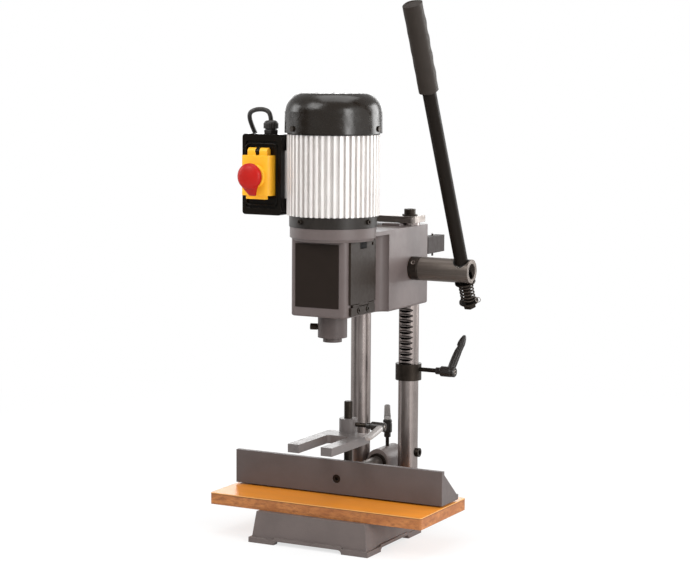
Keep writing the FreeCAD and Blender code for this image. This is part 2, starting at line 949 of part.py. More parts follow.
def right_column():
    """The right column, with the rack cut into its front and a screw hole in its outer side."""
    post = column("right_column", 1)
    pitch, half_gap, slope = rack_geometry()
    tip = s.rack_flat - s.column_radius
    middle = pitch_line()
    root = middle + s.tooth_module * s.dedendum_factor
    front = -s.column_radius - PAST
    gaps = DIMENSIONS["rack_gaps_below"] + DIMENSIONS["rack_gaps_above"] + 1
    low = s.pinion_height - pitch * s.rack_gaps_below
    high = s.pinion_height + pitch * s.rack_gaps_above
    post.cut_box(
        both_sides(s.column_radius), (front, tip), (low - pitch / 2, high + pitch / 2)
    )
    wide = half_gap + (middle - tip) * slope
    narrow = half_gap - (root - middle) * slope
    first = post.pocket("YZ", [
        (tip - PAST, low - wide), (tip, low - wide), (root, low - narrow),
        (root, low + narrow), (tip, low + wide), (tip - PAST, low + wide),
    ], -s.column_radius, s.column_radius)
    post.along_z(first, high - low, gaps)
    post.cut_cylinder(
        s.set_screw_radius + s.thread_gap,
        s.set_screw_length + PAST,
        (s.column_radius - s.set_screw_length, 0, s.stop_screw_height),
        "X",
    )


def column_screws():
    """Two grub screws behind the columns, and a cap screw in the right column's side."""
    screws = []
    start = s.column_y + s.column_radius + s.running_gap
    for side in (-1, 1):
        place = (s.column_x * side, start, s.set_screw_height)
        grub = cylinder(s.set_screw_radius, s.set_screw_length, place, "Y")
        end = (s.column_x * side, start + s.set_screw_length - s.set_screw_radius, s.set_screw_height)
        key = hexagon(s.set_screw_radius / 2, s.set_screw_radius + PAST, end, "Y")
        screws.append(cut(grub, key))
    side_x = s.column_x + s.column_radius
    place = (side_x - s.set_screw_length + s.running_gap, s.column_y, s.stop_screw_height)
    shank = cylinder(s.set_screw_radius, s.set_screw_length, place, "X")
    head = cylinder(
        s.stop_screw_head, s.stop_screw_proud,
        (side_x + s.thread_gap, s.column_y, s.stop_screw_height), "X",
    )
    key = hexagon(
        s.stop_screw_head / 2, s.stop_screw_proud,
        (side_x + s.stop_screw_proud / 2, s.column_y, s.stop_screw_height), "X",
    )
    screws.append(cut(fuse(shank, head), key))
    return screws


def base_screws():
    """The table's and the columns' screws."""
    node("base_screws", group(table_screws() + column_screws()))


def tie_plate():
    """The plate across both columns."""
    plate = Piece("tie_plate")
    low = s.column_top + s.thread_gap
    outline = rounded_rectangle(
        both_sides(s.tie_half_width),
        (s.column_y - s.tie_half_depth, s.column_y + s.tie_half_depth),
        s.tie_corner,
    )
    plate.pad("XY", outline, low, s.column_top + s.tie_thickness)
    for side in (-1, 1):
        plate.cut_cylinder(
            s.tie_bolt_radius + s.air_gap,
            s.tie_thickness + PAST * 2,
            (s.column_x * side, s.column_y, s.column_top - PAST),
        )


def tie_bolts():
    """A socket cap screw on a washer at each end of the tie plate."""
    washers, bolts = [], []
    top = s.column_top + s.tie_thickness
    for side in (-1, 1):
        x = s.column_x * side
        seat = top + s.tie_washer_thickness + s.thread_gap
        washer = cylinder(
            s.tie_washer_radius, s.tie_washer_thickness - s.thread_gap,
            (x, s.column_y, top + s.thread_gap),
        )
        hole = cylinder(
            s.tie_bolt_radius + s.air_gap, s.tie_washer_thickness + PAST * 2,
            (x, s.column_y, top - PAST),
        )
        washers.append(cut(washer, hole))
        low = s.column_top - s.tie_bolt_bite
        shank = cylinder(s.tie_bolt_radius, seat - low + PAST, (x, s.column_y, low))
        head = cylinder(s.tie_bolt_head, s.tie_bolt_head_height, (x, s.column_y, seat))
        key = hexagon(
            s.tie_bolt_head / 2, s.tie_bolt_head_height,
            (x, s.column_y, seat + s.tie_bolt_head_height / 2),
        )
        bolts.append(cut(fuse(shank, head), key))
    node("tie_bolts", group(washers + bolts))


def bar_bush():
    """The black ring that guides the fence bar in the lug."""
    ring = Piece("bar_bush")
    front = s.lug_front - s.bar_bush_proud
    ring.cylinder(s.bar_bush_radius, s.bar_bush_length, (0, front, s.bar_height), "Y")
    ring.cut_cylinder(
        s.bar_radius + s.running_gap, s.bar_bush_length + PAST * 2,
        (0, front - PAST, s.bar_height), "Y",
    )


# ---- Fence and hold-down ------------------------------------------------------------------------


def fence_half():
    """Half the fence's length, a little less than the board's."""
    return s.table_half_width - s.fence_inset


def fence_low():
    """Z of the fence's underside."""
    return s.base_height + s.table_thickness + s.fence_lift


def fence_casting():
    """Upright face with a foot behind it, end gussets, ribs and a boss for the bar."""
    fence = Piece("fence_casting")
    low, high = fence_low(), fence_low() + s.fence_height
    front, wall = s.fence_front, s.fence_wall
    back = front + s.fence_foot
    fence.box(both_sides(fence_half()), (front, front + wall), (low, high))
    fence.box(both_sides(fence_half()), (front, back), (low, low + wall))
    gusset = [(front + PAST, low), (back, low), (back, low + wall / 2), (front + PAST, high)]
    rib = s.fence_rib
    for middle in (-1, 1):
        end = (fence_half() - rib / 2) * middle
        for x in (end, s.fence_rib_x * middle):
            fence.pad("YZ", gusset, x - rib / 2, x + rib / 2)
    boss = (0, front + PAST, s.bar_height)
    fence.cylinder(s.bar_boss, s.bar_boss_back - PAST, boss, "Y")
    fence.cut_cylinder(
        s.bar_radius + s.thread_gap, s.bar_boss_back, (0, front + wall, s.bar_height), "Y"
    )
    fence.cut_cylinder(
        s.fence_screw_radius + s.air_gap, wall + PAST * 2, (0, front - PAST, s.bar_height), "Y"
    )
    fence.cut_cylinder(
        s.fence_screw_head + s.air_gap,
        s.fence_screw_head_height + s.fence_screw_recess + PAST,
        (0, front - PAST, s.bar_height),
        "Y",
    )


def fence_bar():
    """The bar that carries the fence, with a seat for the post and a tapped end."""
    bar = Piece("fence_bar")
    start = s.fence_front + s.fence_wall + s.thread_gap
    bar.cylinder(s.bar_radius, s.bar_end - start, (0, start, s.bar_height), "Y")
    bar.cut_cylinder(
        s.fence_screw_radius + s.thread_gap, s.fence_screw_bite + PAST,
        (0, start - PAST, s.bar_height), "Y",
    )
    bar.cut_cylinder(
        s.post_radius + s.thread_gap, s.post_depth + PAST,
        (0, s.post_y, s.bar_height + s.bar_radius - s.post_depth),
    )


def fence_screw():
    """The socket screw that holds the fence to the bar."""
    head_front = s.fence_front + s.fence_screw_recess
    shank = cylinder(
        s.fence_screw_radius,
        s.fence_wall - s.fence_screw_recess + s.fence_screw_bite - PAST,
        (0, head_front, s.bar_height),
        "Y",
    )
    head = cylinder(
        s.fence_screw_head, s.fence_screw_head_height, (0, head_front, s.bar_height), "Y"
    )
    key = hexagon(
        s.fence_screw_radius * 0.75, s.fence_screw_radius + PAST,
        (0, head_front - PAST, s.bar_height), "Y",
    )
    node("fence_screw", cut(fuse(shank, head), key))


def holddown_post():
    """The upright post, seated in the bar, with a chamfered top."""
    post = Piece("holddown_post")
    low = s.bar_height + s.bar_radius - s.post_depth + s.thread_gap
    post.revolve([
        (0, low), (s.post_radius, low), (s.post_radius, s.post_top - PAST),
        (s.post_radius - PAST, s.post_top), (0, s.post_top),
    ])
    post.at(0, s.post_y, 0)


def holddown_fork():
    """A two-pronged foot with a collar round the post."""
    fork = Piece("holddown_fork")
    low, high = s.fork_bottom, s.fork_bottom + s.fork_thickness
    half, gap = s.fork_half_width, s.fork_gap_half
    corner, inner = s.fork_corner, s.fork_gap_corner
    fork.pad("XY", [
        (gap, s.fork_front), (half, s.fork_front),
        (half, s.fork_back - corner, corner, 1), (half - corner, s.fork_back),
        (corner - half, s.fork_back, corner, 1), (-half, s.fork_back - corner),
        (-half, s.fork_front), (-gap, s.fork_front),
        (-gap, s.fork_gap_end - inner, inner, -1), (inner - gap, s.fork_gap_end),
        (gap - inner, s.fork_gap_end, inner, -1), (gap, s.fork_gap_end - inner),
    ], low, high)
    fork.cylinder(s.fork_collar_radius, s.fork_collar_top - low, (0, s.post_y, low))
    fork.cut_cylinder(
        s.post_radius + s.running_gap, s.fork_collar_top - low + PAST * 2,
        (0, s.post_y, low - PAST),
    )
    fork.cut_cylinder(
        s.fork_stud_radius + s.running_gap, s.fork_collar_radius + PAST,
        (0, s.post_y, s.fork_stud_height), "X",
    )


# ---- Clamp levers -------------------------------------------------------------------------------


def clamp_lever(name, at, along, arm, sizes):
    """A stud and its handle. Sizes: stud radius and start, hub radius, low and high, arm length
    and rise. The stud grows along its own Z, and the arm leaves the hub along its own X."""
    stud_radius, stud_low, hub_radius, hub_low, hub_high, reach, rise = sizes
    stud = Piece(name + "_stud")
    seat = hub_low + s.clamp_socket
    stud.cylinder(stud_radius, seat - stud_low, (0, 0, stud_low))
    oriented(stud.body, at, along, arm)

    handle = Piece(name + "_handle")
    neck = hub_radius - s.clamp_chamfer
    handle.revolve([
        (0, hub_low), (neck, hub_low), (hub_radius, hub_low + s.clamp_chamfer),
        (hub_radius, hub_high - s.clamp_chamfer), (neck, hub_high), (0, hub_high),
    ])
    root, tip = s.clamp_arm_root, s.clamp_arm_tip
    middle = hub_high - root - s.clamp_chamfer
    handle.pad("XZ", [
        (0, middle - root), (reach, middle + rise - tip, tip * 1.08, 1),
        (reach, middle + rise + tip), (0, middle + root),
    ], -s.clamp_arm_half, s.clamp_arm_half)
    handle.cut_cylinder(
        stud_radius + s.thread_gap, s.clamp_socket + s.thread_gap + PAST, (0, 0, hub_low - PAST)
    )
    oriented(handle.body, at, along, arm)


def depth_collar():
    """The depth stop's ring on the right column."""
    ring = Piece("depth_collar")
    low = s.depth_collar_low
    ring.cylinder(s.depth_collar_radius, s.depth_collar_height, (0, 0, low))
    ring.cut_cylinder(
        s.column_radius + s.running_gap, s.depth_collar_height + PAST * 2, (0, 0, low - PAST)
    )
    ring.cut_cylinder(
        s.depth_stud_radius + s.running_gap, s.depth_collar_radius + PAST,
        (0, 0, s.depth_stud_height), "X",
    )
    ring.at(s.column_x, s.column_y, 0)


def clamp_levers():
    """The three clamp levers: on the bar, on the hold-down and on the depth stop."""
    view_away = (-math.sin(math.radians(28)), math.cos(math.radians(28)), 0)
    clamp_lever("bar_lock", (0, s.bar_stud_y, 0), (0, 0, 1), view_away, (
        s.bar_stud_radius, s.bar_height + s.bar_radius + s.air_gap,
        s.bar_hub_radius, s.bar_hub_low, s.bar_hub_high, s.bar_arm_length, s.bar_arm_rise,
    ))
    dip = math.radians(s.fork_arm_dip.number)
    forward = (0, -math.cos(dip), -math.sin(dip))
    clamp_lever("fork_lock", (0, s.post_y, s.fork_stud_height), (1, 0, 0), forward, (
        s.fork_stud_radius, s.post_radius + s.air_gap,
        s.fork_hub_radius, s.fork_hub_start, s.fork_hub_end, s.fork_arm_length, 0.0,
    ))
    turn = math.radians(s.depth_arm_turn.number)
    up = (0, math.sin(turn), math.cos(turn))
    clamp_lever("depth_lock", (s.column_x, s.column_y, s.depth_stud_height), (1, 0, 0), up, (
        s.depth_stud_radius, s.column_radius + s.air_gap,
        s.depth_hub_radius, s.depth_hub_start - s.column_x, s.depth_hub_end - s.column_x,
        s.depth_arm_length, s.depth_arm_lean,
    ))


# ---- Head ---------------------------------------------------------------------------------------


def door_inner():
    """X of the door's inner face."""
    return s.head_half_width + s.air_gap


def door_middle():
    """Y halfway along the door."""
    return (s.door_front + s.door_back) / 2


def head_casting():
    """The head: bit chamber in front, column bores behind, motor flange on top."""
    head = Piece("head_casting")
    side, rear = s.head_half_width, s.rear_half_width
    left = s.head_left_width
    cove, left_cove = rear - side, rear - left
    corner, back_corner = s.head_corner, s.head_back_corner
    head.pad("XY", [
        (corner - left, s.head_front), (side - corner, s.head_front, corner, 1),
        (side, s.head_front + corner), (side, s.cove_start, cove, -1),
        (rear, s.cove_start + cove), (rear, s.head_back - back_corner, back_corner, 1),
        (rear - back_corner, s.head_back), (back_corner - rear, s.head_back, back_corner, 1),
        (-rear, s.head_back - back_corner), (-rear, s.cove_start + left_cove, left_cove, -1),
        (-left, s.cove_start), (-left, s.head_front + corner, corner, 1),
    ], s.head_bottom, s.roof_top)
    head.round_edges(
        s.head_bottom_round, lambda a, b: abs(a.z - b.z) < 1e-6 and a.z < s.head_bottom.number + 1
    )
    head.box(both_sides(rear), (s.ledge_front, s.cove_start + cove + PAST),
             (s.roof_underside, s.roof_top))
    head.cylinder(
        s.flange_radius, s.flange_top - s.flange_bottom, (0, s.spindle_y, s.flange_bottom)
    )
    centre = (0, s.spindle_y)
    head.loft([
        head.circle("XY", s.flange_radius - s.flange_neck, s.flange_bottom - s.flange_neck, centre),
        head.circle("XY", s.flange_radius - PAST, s.flange_bottom + PAST, centre),
    ])
    head.box(
        (s.pad_left, s.pad_left + s.pad_width), (s.pad_front, s.pad_front + s.pad_depth),
        (s.roof_top - PAST, s.roof_top + s.pad_height),
    )
    head.cut_box(
        (s.chamber_left, side + PAST), (s.chamber_front, s.chamber_back),
        (s.chamber_floor, s.chamber_ceiling),
    )
    spindle = (0, s.spindle_y)
    height = s.flange_top - s.chamber_ceiling + PAST * 2
    head.cut_cylinder(s.spindle_hole, height, (*spindle, s.chamber_ceiling - PAST))
    head.cut_cylinder(
        s.bearing_radius + s.thread_gap, s.flange_top - s.lower_bearing + PAST,
        (*spindle, s.lower_bearing),
    )
    head.cut_cylinder(
        s.spigot_radius + s.thread_gap, s.chamber_floor - s.head_bottom + PAST * 2,
        (*spindle, s.head_bottom - PAST),
    )
    whole = s.flange_top - s.head_bottom + PAST * 2
    for x in (-s.column_x, s.column_x):
        head.cut_cylinder(
            s.column_radius + s.running_gap, whole, (x, s.column_y, s.head_bottom - PAST)
        )
    tip = s.tooth_module * (s.pinion_teeth / 2 + s.addendum_factor) + s.pinion_pocket
    pocket = s.column_x - s.pinion_width / 2 - s.air_gap
    head.cut_cylinder(tip, rear - pocket + PAST, (pocket, pinion_axis_y(), s.pinion_height), "X")
    head.cut_cylinder(
        s.shaft_radius + s.running_gap, rear * 2, (-rear - PAST, pinion_axis_y(), s.pinion_height),
        "X",
    )
    hinge_row = (s.hinge_screw_spread / 2, -s.hinge_screw_spread / 2)
    for step in hinge_row:
        head.cut_cylinder(
            s.hinge_screw_radius + s.thread_gap, s.hinge_screw_bite + PAST,
            (side - s.hinge_screw_bite, door_middle() + step, hinge_screw_height()), "X",
        )


def pinion_bush():
    """The bush that carries the pinion shaft in the head's right wall."""
    outer = s.tooth_module * (s.pinion_teeth / 2 + s.addendum_factor) + s.pinion_pocket
    start = s.column_x + s.pinion_width / 2 + s.air_gap
    bush = Piece("pinion_bush")
    place = (start, pinion_axis_y(), s.pinion_height)
    bush.cylinder(outer - s.thread_gap, s.rear_half_width - start, place, "X")
    bush.cut_cylinder(
        s.shaft_radius + s.running_gap, s.rear_half_width - start + PAST * 2,
        (start - PAST, pinion_axis_y(), s.pinion_height), "X",
    )


def spring_case():
    """The round case of the return spring, on the head's left side."""
    case = Piece("spring_case")
    depth, radius, wall = s.spring_case_depth, s.spring_case_radius, s.spring_case_wall
    case.revolve([
        (s.shaft_radius + s.running_gap, 0), (radius, 0), (radius, depth - wall),
        (radius - wall, depth), (0, depth), (0, depth - wall), (radius - wall, depth - wall),
        (radius - wall, wall), (s.shaft_radius + s.running_gap, wall),
    ])
    place = (-s.rear_half_width - s.thread_gap, pinion_axis_y(), s.pinion_height)
    oriented(case.body, place, (-1, 0, 0), (0, 0, 1))


def return_spring():
    """The flat spiral spring round the left end of the pinion shaft."""
    strip, pitch = s.spring_strip.number, s.spring_pitch.number
    steps = 24 * DIMENSIONS["spring_turns"]
    outer, inner = [], []
    for step in range(steps + 1):
        angle = step * math.tau / 24
        radius = s.spring_inner.number + pitch * angle / math.tau
        way = Vector(math.cos(angle), math.sin(angle), 0)
        inner.append(way * radius)
        outer.append(way * (radius + strip))
    face = Part.Face(Part.makePolygon(inner + outer[::-1] + inner[:1]))
    low = s.spring_case_wall.number + s.air_gap.number
    width = s.spring_case_depth.number - 2 * low
    face.translate(Vector(0, 0, low))
    spring = shaped(face.extrude(Vector(0, 0, width)))
    place = (-s.rear_half_width - s.thread_gap, pinion_axis_y(), s.pinion_height)
    oriented(spring, place, (-1, 0, 0), (0, 0, 1))
    node("return_spring", spring)


def chisel_holder():
    """The chisel collar with its bush, turned so that the lock screw points where it should."""
    collar = Piece("chisel_collar")
    top = s.head_bottom - s.thread_gap
    sleeve = s.chisel_sleeve + s.thread_gap
    collar.revolve([
        (sleeve, s.collar_bottom), (s.collar_radius, s.collar_bottom), (s.collar_radius, top),
        (s.spigot_radius, top), (s.spigot_radius, s.chamber_floor), (sleeve, s.chamber_floor),
    ])
    bush = Piece("chisel_bush")
    ledge = s.collar_bottom - s.thread_gap
    bush.revolve([
        (s.chisel_bore, s.chisel_bush_bottom), (s.chisel_bush_radius, s.chisel_bush_bottom),
        (s.chisel_bush_radius, ledge), (s.chisel_sleeve, ledge),
        (s.chisel_sleeve, s.chisel_sleeve_top), (s.chisel_bore, s.chisel_sleeve_top),
    ])
    for piece, clearance in ((collar, s.running_gap), (bush, s.air_gap)):
        piece.cut_cylinder(
            s.lock_screw_radius + clearance, s.collar_radius + PAST,
            (-s.collar_radius - PAST, 0, s.lock_screw_height), "X",
        )
        turned(piece.body, (0, s.spindle_y, 0), (0, 0, 1), s.lock_turn)

    tip = s.chisel_bore + s.air_gap
    screw = Piece("chisel_lock_screw")
    length = s.lock_screw_start - tip + PAST
    screw.cylinder(s.lock_screw_radius, length, (-tip - length, 0, s.lock_screw_height), "X")
    head = s.lock_screw_head_length
    screw.cylinder(
        s.lock_screw_head, head, (-s.lock_screw_start - head, 0, s.lock_screw_height), "X"
    )
    turned(screw.body, (0, s.spindle_y, 0), (0, 0, 1), s.lock_turn)


def tool_rack():
    """The bent sheet bracket behind the head that holds the hex key."""
    sheet_part = Piece("tool_rack")
    side, thick = s.rack_plate_x, s.rack_sheet
    start = s.head_back + s.thread_gap
    inner = side - s.rack_lip
    high, low = s.rack_plate_high, s.rack_plate_low
    sheet_part.box((side, side + thick), (start, s.rack_plate_back), (low, high))
    sheet_part.box((inner, side + thick), (start, start + thick), (low, high))
    sheet_part.box((inner, side + thick), (start, s.rack_plate_back), (high - thick, high))
    sheet_part.cut_cylinder(
        s.key_radius + s.running_gap, thick + PAST * 2, (key_x(), s.key_y, high - thick - PAST)
    )


def key_x():
    """X of the hex key's long leg."""
    return s.rack_plate_x - s.rack_lip / 2


def hex_key():
    """The bent key that hangs in the rack."""
    top = s.rack_plate_high + s.key_radius + s.thread_gap
    leg = cylinder(s.key_radius, s.key_drop, (key_x(), s.key_y, top - s.key_drop))
    arm = cylinder(s.key_radius, s.key_short_arm, (0, 0, 0))
    turn = math.radians(s.key_turn.number)
    oriented(arm, (key_x(), s.key_y, top), (-math.sin(turn), math.cos(turn), 0), (0, 0, 1))
    bend = doc.addObject("Part::Sphere", "bend")
    bind(bend, "Radius", s.key_radius)
    stand(bend, (key_x(), s.key_y, top))
    node("hex_key", fuse(leg, arm, bend))


def hinge_screw_height():
    """Z of the hinge block's screws."""
    return s.hinge_height - s.hinge_screw_drop


def door_top():
    """Z of the door's upper edge."""
    return s.hinge_height + s.door_height


def hinge_axis_x():
    """X of the door's hinge pin."""
    return door_inner() + s.hinge_radius


def hinge_block():
    """The door's hinge block, screwed to the head, with a knuckle at each end."""
    block = Piece("hinge_block")
    inner = s.head_half_width + s.thread_gap
    outer = door_inner() + s.door_thickness
    axis_x, axis_z = hinge_axis_x(), s.hinge_height
    top = axis_z - s.hinge_radius - s.hinge_clear
    front, back = s.door_front + s.hinge_clear * 4, s.door_back - s.hinge_clear * 4
    block.box((inner, outer), (front, back), (s.hinge_height - s.hinge_block_drop, top))
    for low in (s.hinge_front, s.hinge_back - s.hinge_knuckle):
        span = (low, low + s.hinge_knuckle)
        block.box((door_inner(), outer), span, (top - PAST, axis_z))
        block.cylinder(s.hinge_radius, s.hinge_knuckle, (axis_x, low, axis_z), "Y")
    block.cut_cylinder(
        s.hinge_pin_radius + s.thread_gap, s.hinge_back - s.hinge_front + PAST * 2,
        (axis_x, s.hinge_front - PAST, axis_z), "Y",
    )
    for step in (s.hinge_screw_spread / 2, -s.hinge_screw_spread / 2):
        place = (inner - PAST, door_middle() + step, hinge_screw_height())
        block.cut_cylinder(s.hinge_screw_radius + s.air_gap, s.door_thickness * 2, place, "X")
        sunk = (outer - s.hinge_screw_sunk, door_middle() + step, hinge_screw_height())
        block.cut_cylinder(s.hinge_screw_head + s.air_gap, s.door_thickness, sunk, "X")


def hinge_hardware():
    """The door's hinge pin and the two socket screws of its hinge block."""
    screws = []
    outer = door_inner() + s.door_thickness
    seat = outer - s.hinge_screw_sunk + s.thread_gap
    for step in (s.hinge_screw_spread / 2, -s.hinge_screw_spread / 2):
        y, z = door_middle() + step, hinge_screw_height()
        start = s.head_half_width - s.hinge_screw_bite + PAST
        shank = cylinder(s.hinge_screw_radius, seat - start + PAST, (start, y, z), "X")
        head = cylinder(s.hinge_screw_head, s.hinge_screw_sunk + PAST, (seat, y, z), "X")
        key = hexagon(s.hinge_screw_head / 2, s.door_thickness, (seat + PAST, y, z), "X")
        screws.append(cut(fuse(shank, head), key))
    pin = cylinder(
        s.hinge_pin_radius, s.hinge_back - s.hinge_front,
        (hinge_axis_x(), s.hinge_front, s.hinge_height), "Y",
    )
    node("hinge_hardware", group(screws + [pin]))


def chamber_door():
    """The door over the bit chamber, with its middle knuckle and a finger notch at the top."""
    door = Piece("chamber_door")
    inner, outer = door_inner(), door_inner() + s.door_thickness
    bottom = s.hinge_height + s.hinge_radius + s.hinge_clear
    door.box((inner, outer), (s.door_front, s.door_back), (bottom, door_top()))
    low = s.hinge_front + s.hinge_knuckle + s.air_gap
    high = s.hinge_back - s.hinge_knuckle - s.air_gap
    door.box((inner, outer), (low, high), (s.hinge_height, bottom + PAST))
    door.cylinder(s.hinge_radius, high - low, (hinge_axis_x(), low, s.hinge_height), "Y")
    door.cut_cylinder(
        s.hinge_pin_radius + s.running_gap, high - low + PAST * 2,
        (hinge_axis_x(), low - PAST, s.hinge_height), "Y",
    )
    notch = (s.door_notch_y - s.door_notch_half, s.door_notch_y + s.door_notch_half)
    door.cut_box(
        (inner - PAST, outer + PAST), notch, (door_top() - s.door_notch_depth, door_top() + PAST)
    )


def name_plate():
    """The thin blank plate on the head's front."""
    front = s.head_front - s.thread_gap
    node("name_plate", box(
        (s.plate_left, s.plate_right), (front - s.plate_thickness, front),
        (s.plate_bottom, s.plate_top),
    ))


# ---- Motor and spindle --------------------------------------------------------------------------


def on_spindle(piece):
    """Stands a body on the spindle's axis."""
    piece.at(0, s.spindle_y, 0)
    return piece


def motor_base():
    """The black ring between the head's flange and the finned barrel."""
    ring = Piece("motor_base")
    low, high = s.flange_top + s.thread_gap, s.motor_ring_top
    ring.revolve([
        (s.spindle_hole, low), (s.motor_ring_radius, low), (s.motor_ring_radius, high),
        (s.barrel_bore, high), (s.barrel_bore, low + s.shield_wall),
        (s.spindle_hole, low + s.shield_wall),
    ])
    on_spindle(ring)


def motor_housing():
    """The finned aluminium barrel, with a flat saddle for the switch box."""
    barrel = Piece("motor_housing")
    low, high = s.motor_ring_top + s.thread_gap, s.barrel_top
    fin = barrel.box(
        (s.barrel_bore + PAST, s.fin_radius), both_sides(s.fin_thickness / 2), (low, high)
    )
    barrel.around_z(fin, s.fin_count)
    barrel.cylinder(s.fin_root, high - low, (0, 0, low))
    saddle = (s.box_right + s.thread_gap, -s.barrel_bore)
    barrel.box(saddle, both_sides(s.saddle_half_depth), (s.saddle_low, s.saddle_high))
    barrel.cut_cylinder(s.barrel_bore, high - low + PAST * 2, (0, 0, low - PAST))
    on_spindle(barrel)


def stator():
    """The wound core inside the barrel."""
    core = Piece("stator")
    height = s.stator_high - s.stator_low
    core.cylinder(s.barrel_bore - s.thread_gap, height, (0, 0, s.stator_low))
    core.cut_cylinder(s.stator_bore, height + PAST * 2, (0, 0, s.stator_low - PAST))
    on_spindle(core)


def upper_bearing():
    """Z of the upper bearing's underside."""
    return s.barrel_top + s.shield_wall


def end_shield():
    """The upper end shield, with the bearing's seat and the rim that the fan cover screws to."""
    shield = Piece("end_shield")
    low = s.barrel_top + s.thread_gap
    floor, seat = s.barrel_top + s.shield_wall, s.bearing_radius + s.thread_gap
    hub, hub_top = seat + s.shield_wall, upper_bearing() + s.bearing_height
    inner = s.shield_radius - s.shield_wall
    shield.revolve([
        (s.spindle_hole, low), (s.shield_radius, low), (s.shield_radius, s.shield_rim),
        (inner, s.shield_rim), (inner, floor + PAST), (hub, floor + PAST), (hub, hub_top),
        (seat, hub_top), (seat, floor), (s.spindle_hole, floor),
    ])
    hole = shield.cut_cylinder(
        s.cap_screw_radius + s.thread_gap, s.shield_wall * 2,
        (inner - s.shield_wall / 2, 0, s.cap_screw_height), "X",
    )
    shield.around_z(hole, s.cap_screws)
    turned(shield.body, (0, s.spindle_y, 0), (0, 0, 1), s.cap_screw_turn)


def fan_cover():
    """The domed black cover over the fan, with radial intake slots in its top."""
    cover = Piece("fan_cover")
    radius, wall = s.cap_radius, s.cap_wall
    inner = radius - wall
    low, high, shoulder = s.cap_bottom, s.cap_top, s.cap_shoulder
    crown = radius - s.cap_round
    cover.revolve([
        (inner, low), (radius, low), (radius, shoulder, s.cap_arc, 1), (crown, high), (0, high),
        (0, high - wall), (crown, high - wall, s.cap_arc, -1), (inner, shoulder - wall / 2),
    ])
    slot = cover.cut_box(
        (s.vent_inner, s.vent_outer), both_sides(s.vent_width / 2), (high - wall * 2, high + PAST)
    )
    cover.around_z(slot, s.vent_slots)
    hole = cover.cut_cylinder(
        s.cap_screw_radius + s.air_gap, wall * 4, (radius - wall * 2, 0, s.cap_screw_height), "X"
    )
    cover.around_z(hole, s.cap_screws)
    turned(cover.body, (0, s.spindle_y, 0), (0, 0, 1), s.cap_screw_turn)


def cover_screws():
    """The screws that hold the fan cover to the end shield."""
    screws = []
    for index in range(DIMENSIONS["cap_screws"]):
        start = s.shield_radius - s.shield_wall
        shank = cylinder(
            s.cap_screw_radius, s.cap_radius - start + PAST, (start, 0, s.cap_screw_height), "X"
        )
        head = cylinder(
            s.cap_screw_head, s.cap_screw_radius,
            (s.cap_radius + s.running_gap, 0, s.cap_screw_height), "X",
        )
        screw = fuse(shank, head)
        turned(screw, (0, s.spindle_y, 0), (0, 0, 1), s.cap_screw_turn + 360 / s.cap_screws * index)
        screws.append(screw)
    node("cover_screws", group(screws))


def motor_bearings():
    """The ball bearings above and below the rotor, each as one ring."""
    rings = []
    for low in (s.lower_bearing + s.thread_gap, upper_bearing() + s.thread_gap):
        outer = cylinder(
            s.bearing_radius, s.bearing_height - s.thread_gap, (0, s.spindle_y, low)
        )
        bore = cylinder(
            s.spindle_radius + s.running_gap, s.bearing_height + PAST * 2,
            (0, s.spindle_y, low - PAST),
        )
        rings.append(cut(outer, bore))
    node("motor_bearings", group(rings))


def rotor_shaft():
    """The spindle shaft with the rotor on it."""
    shaft = Piece("rotor_shaft")
    rotor = s.stator_bore - s.rotor_air
    shaft.revolve([
        (0, s.shaft_bottom), (s.spindle_radius, s.shaft_bottom), (s.spindle_radius, s.stator_low),
        (rotor, s.stator_low), (rotor, s.stator_high), (s.spindle_radius, s.stator_high),
        (s.spindle_radius, s.shaft_top), (0, s.shaft_top),
    ])
    on_spindle(shaft)


def motor_fan():
    """The fan on the shaft's upper end."""
    fan = Piece("motor_fan")
    bore, hub = s.spindle_radius + s.thread_gap, s.spindle_radius * 2
    plate = s.fan_low + s.cap_wall
    blade = fan.box(
        (hub - PAST, s.fan_radius), both_sides(s.cap_wall / 2), (s.fan_low, s.fan_low + s.fan_height)
    )
    fan.around_z(blade, s.fan_blades)
    fan.cylinder(s.fan_radius - s.cap_wall, plate - s.fan_low, (0, 0, s.fan_low))
    fan.cylinder(hub, s.fan_height, (0, 0, s.fan_low))
    fan.cut_cylinder(bore, s.fan_height + PAST * 2, (0, 0, s.fan_low - PAST))
    on_spindle(fan)


def chuck():
    """The drill chuck on the shaft's lower end, with a tapered nose and a knurled sleeve."""
    body = Piece("chuck")
    low, high, radius = s.chuck_low, s.chuck_high, s.chuck_radius
    nose = s.chuck_nose
    body.revolve([
        (s.chuck_mouth, low), (nose, low), (radius, low + nose), (radius, high - nose),
        (nose + PAST * 2, high), (nose + PAST * 2, high + nose),
        (s.spindle_radius + s.thread_gap, high + nose),
        (s.spindle_radius + s.thread_gap, s.shaft_bottom - s.thread_gap),
        (0, s.shaft_bottom - s.thread_gap), (0, low + radius * 2), (s.chuck_mouth, low + radius * 2),
    ])
    flute = body.cut_cylinder(
        s.chuck_flute, high - low - nose * 3, (radius + s.chuck_flute / 2, 0, low + nose * 1.5)
    )
    body.around_z(flute, s.chuck_flutes)
    on_spindle(body)


# ---- Switch -------------------------------------------------------------------------------------


def recess_face():
    """Y of the floor of the recess in the switch box's front."""
    return s.box_front + s.bezel_depth


def ear_spans():
    """The X spans of the flap's two ears."""
    left = (s.flap_ear_left, s.flap_ear_left + s.flap_knuckle_width)
    right = (s.flap_ear_right - s.flap_knuckle_width, s.flap_ear_right)
    return left, right


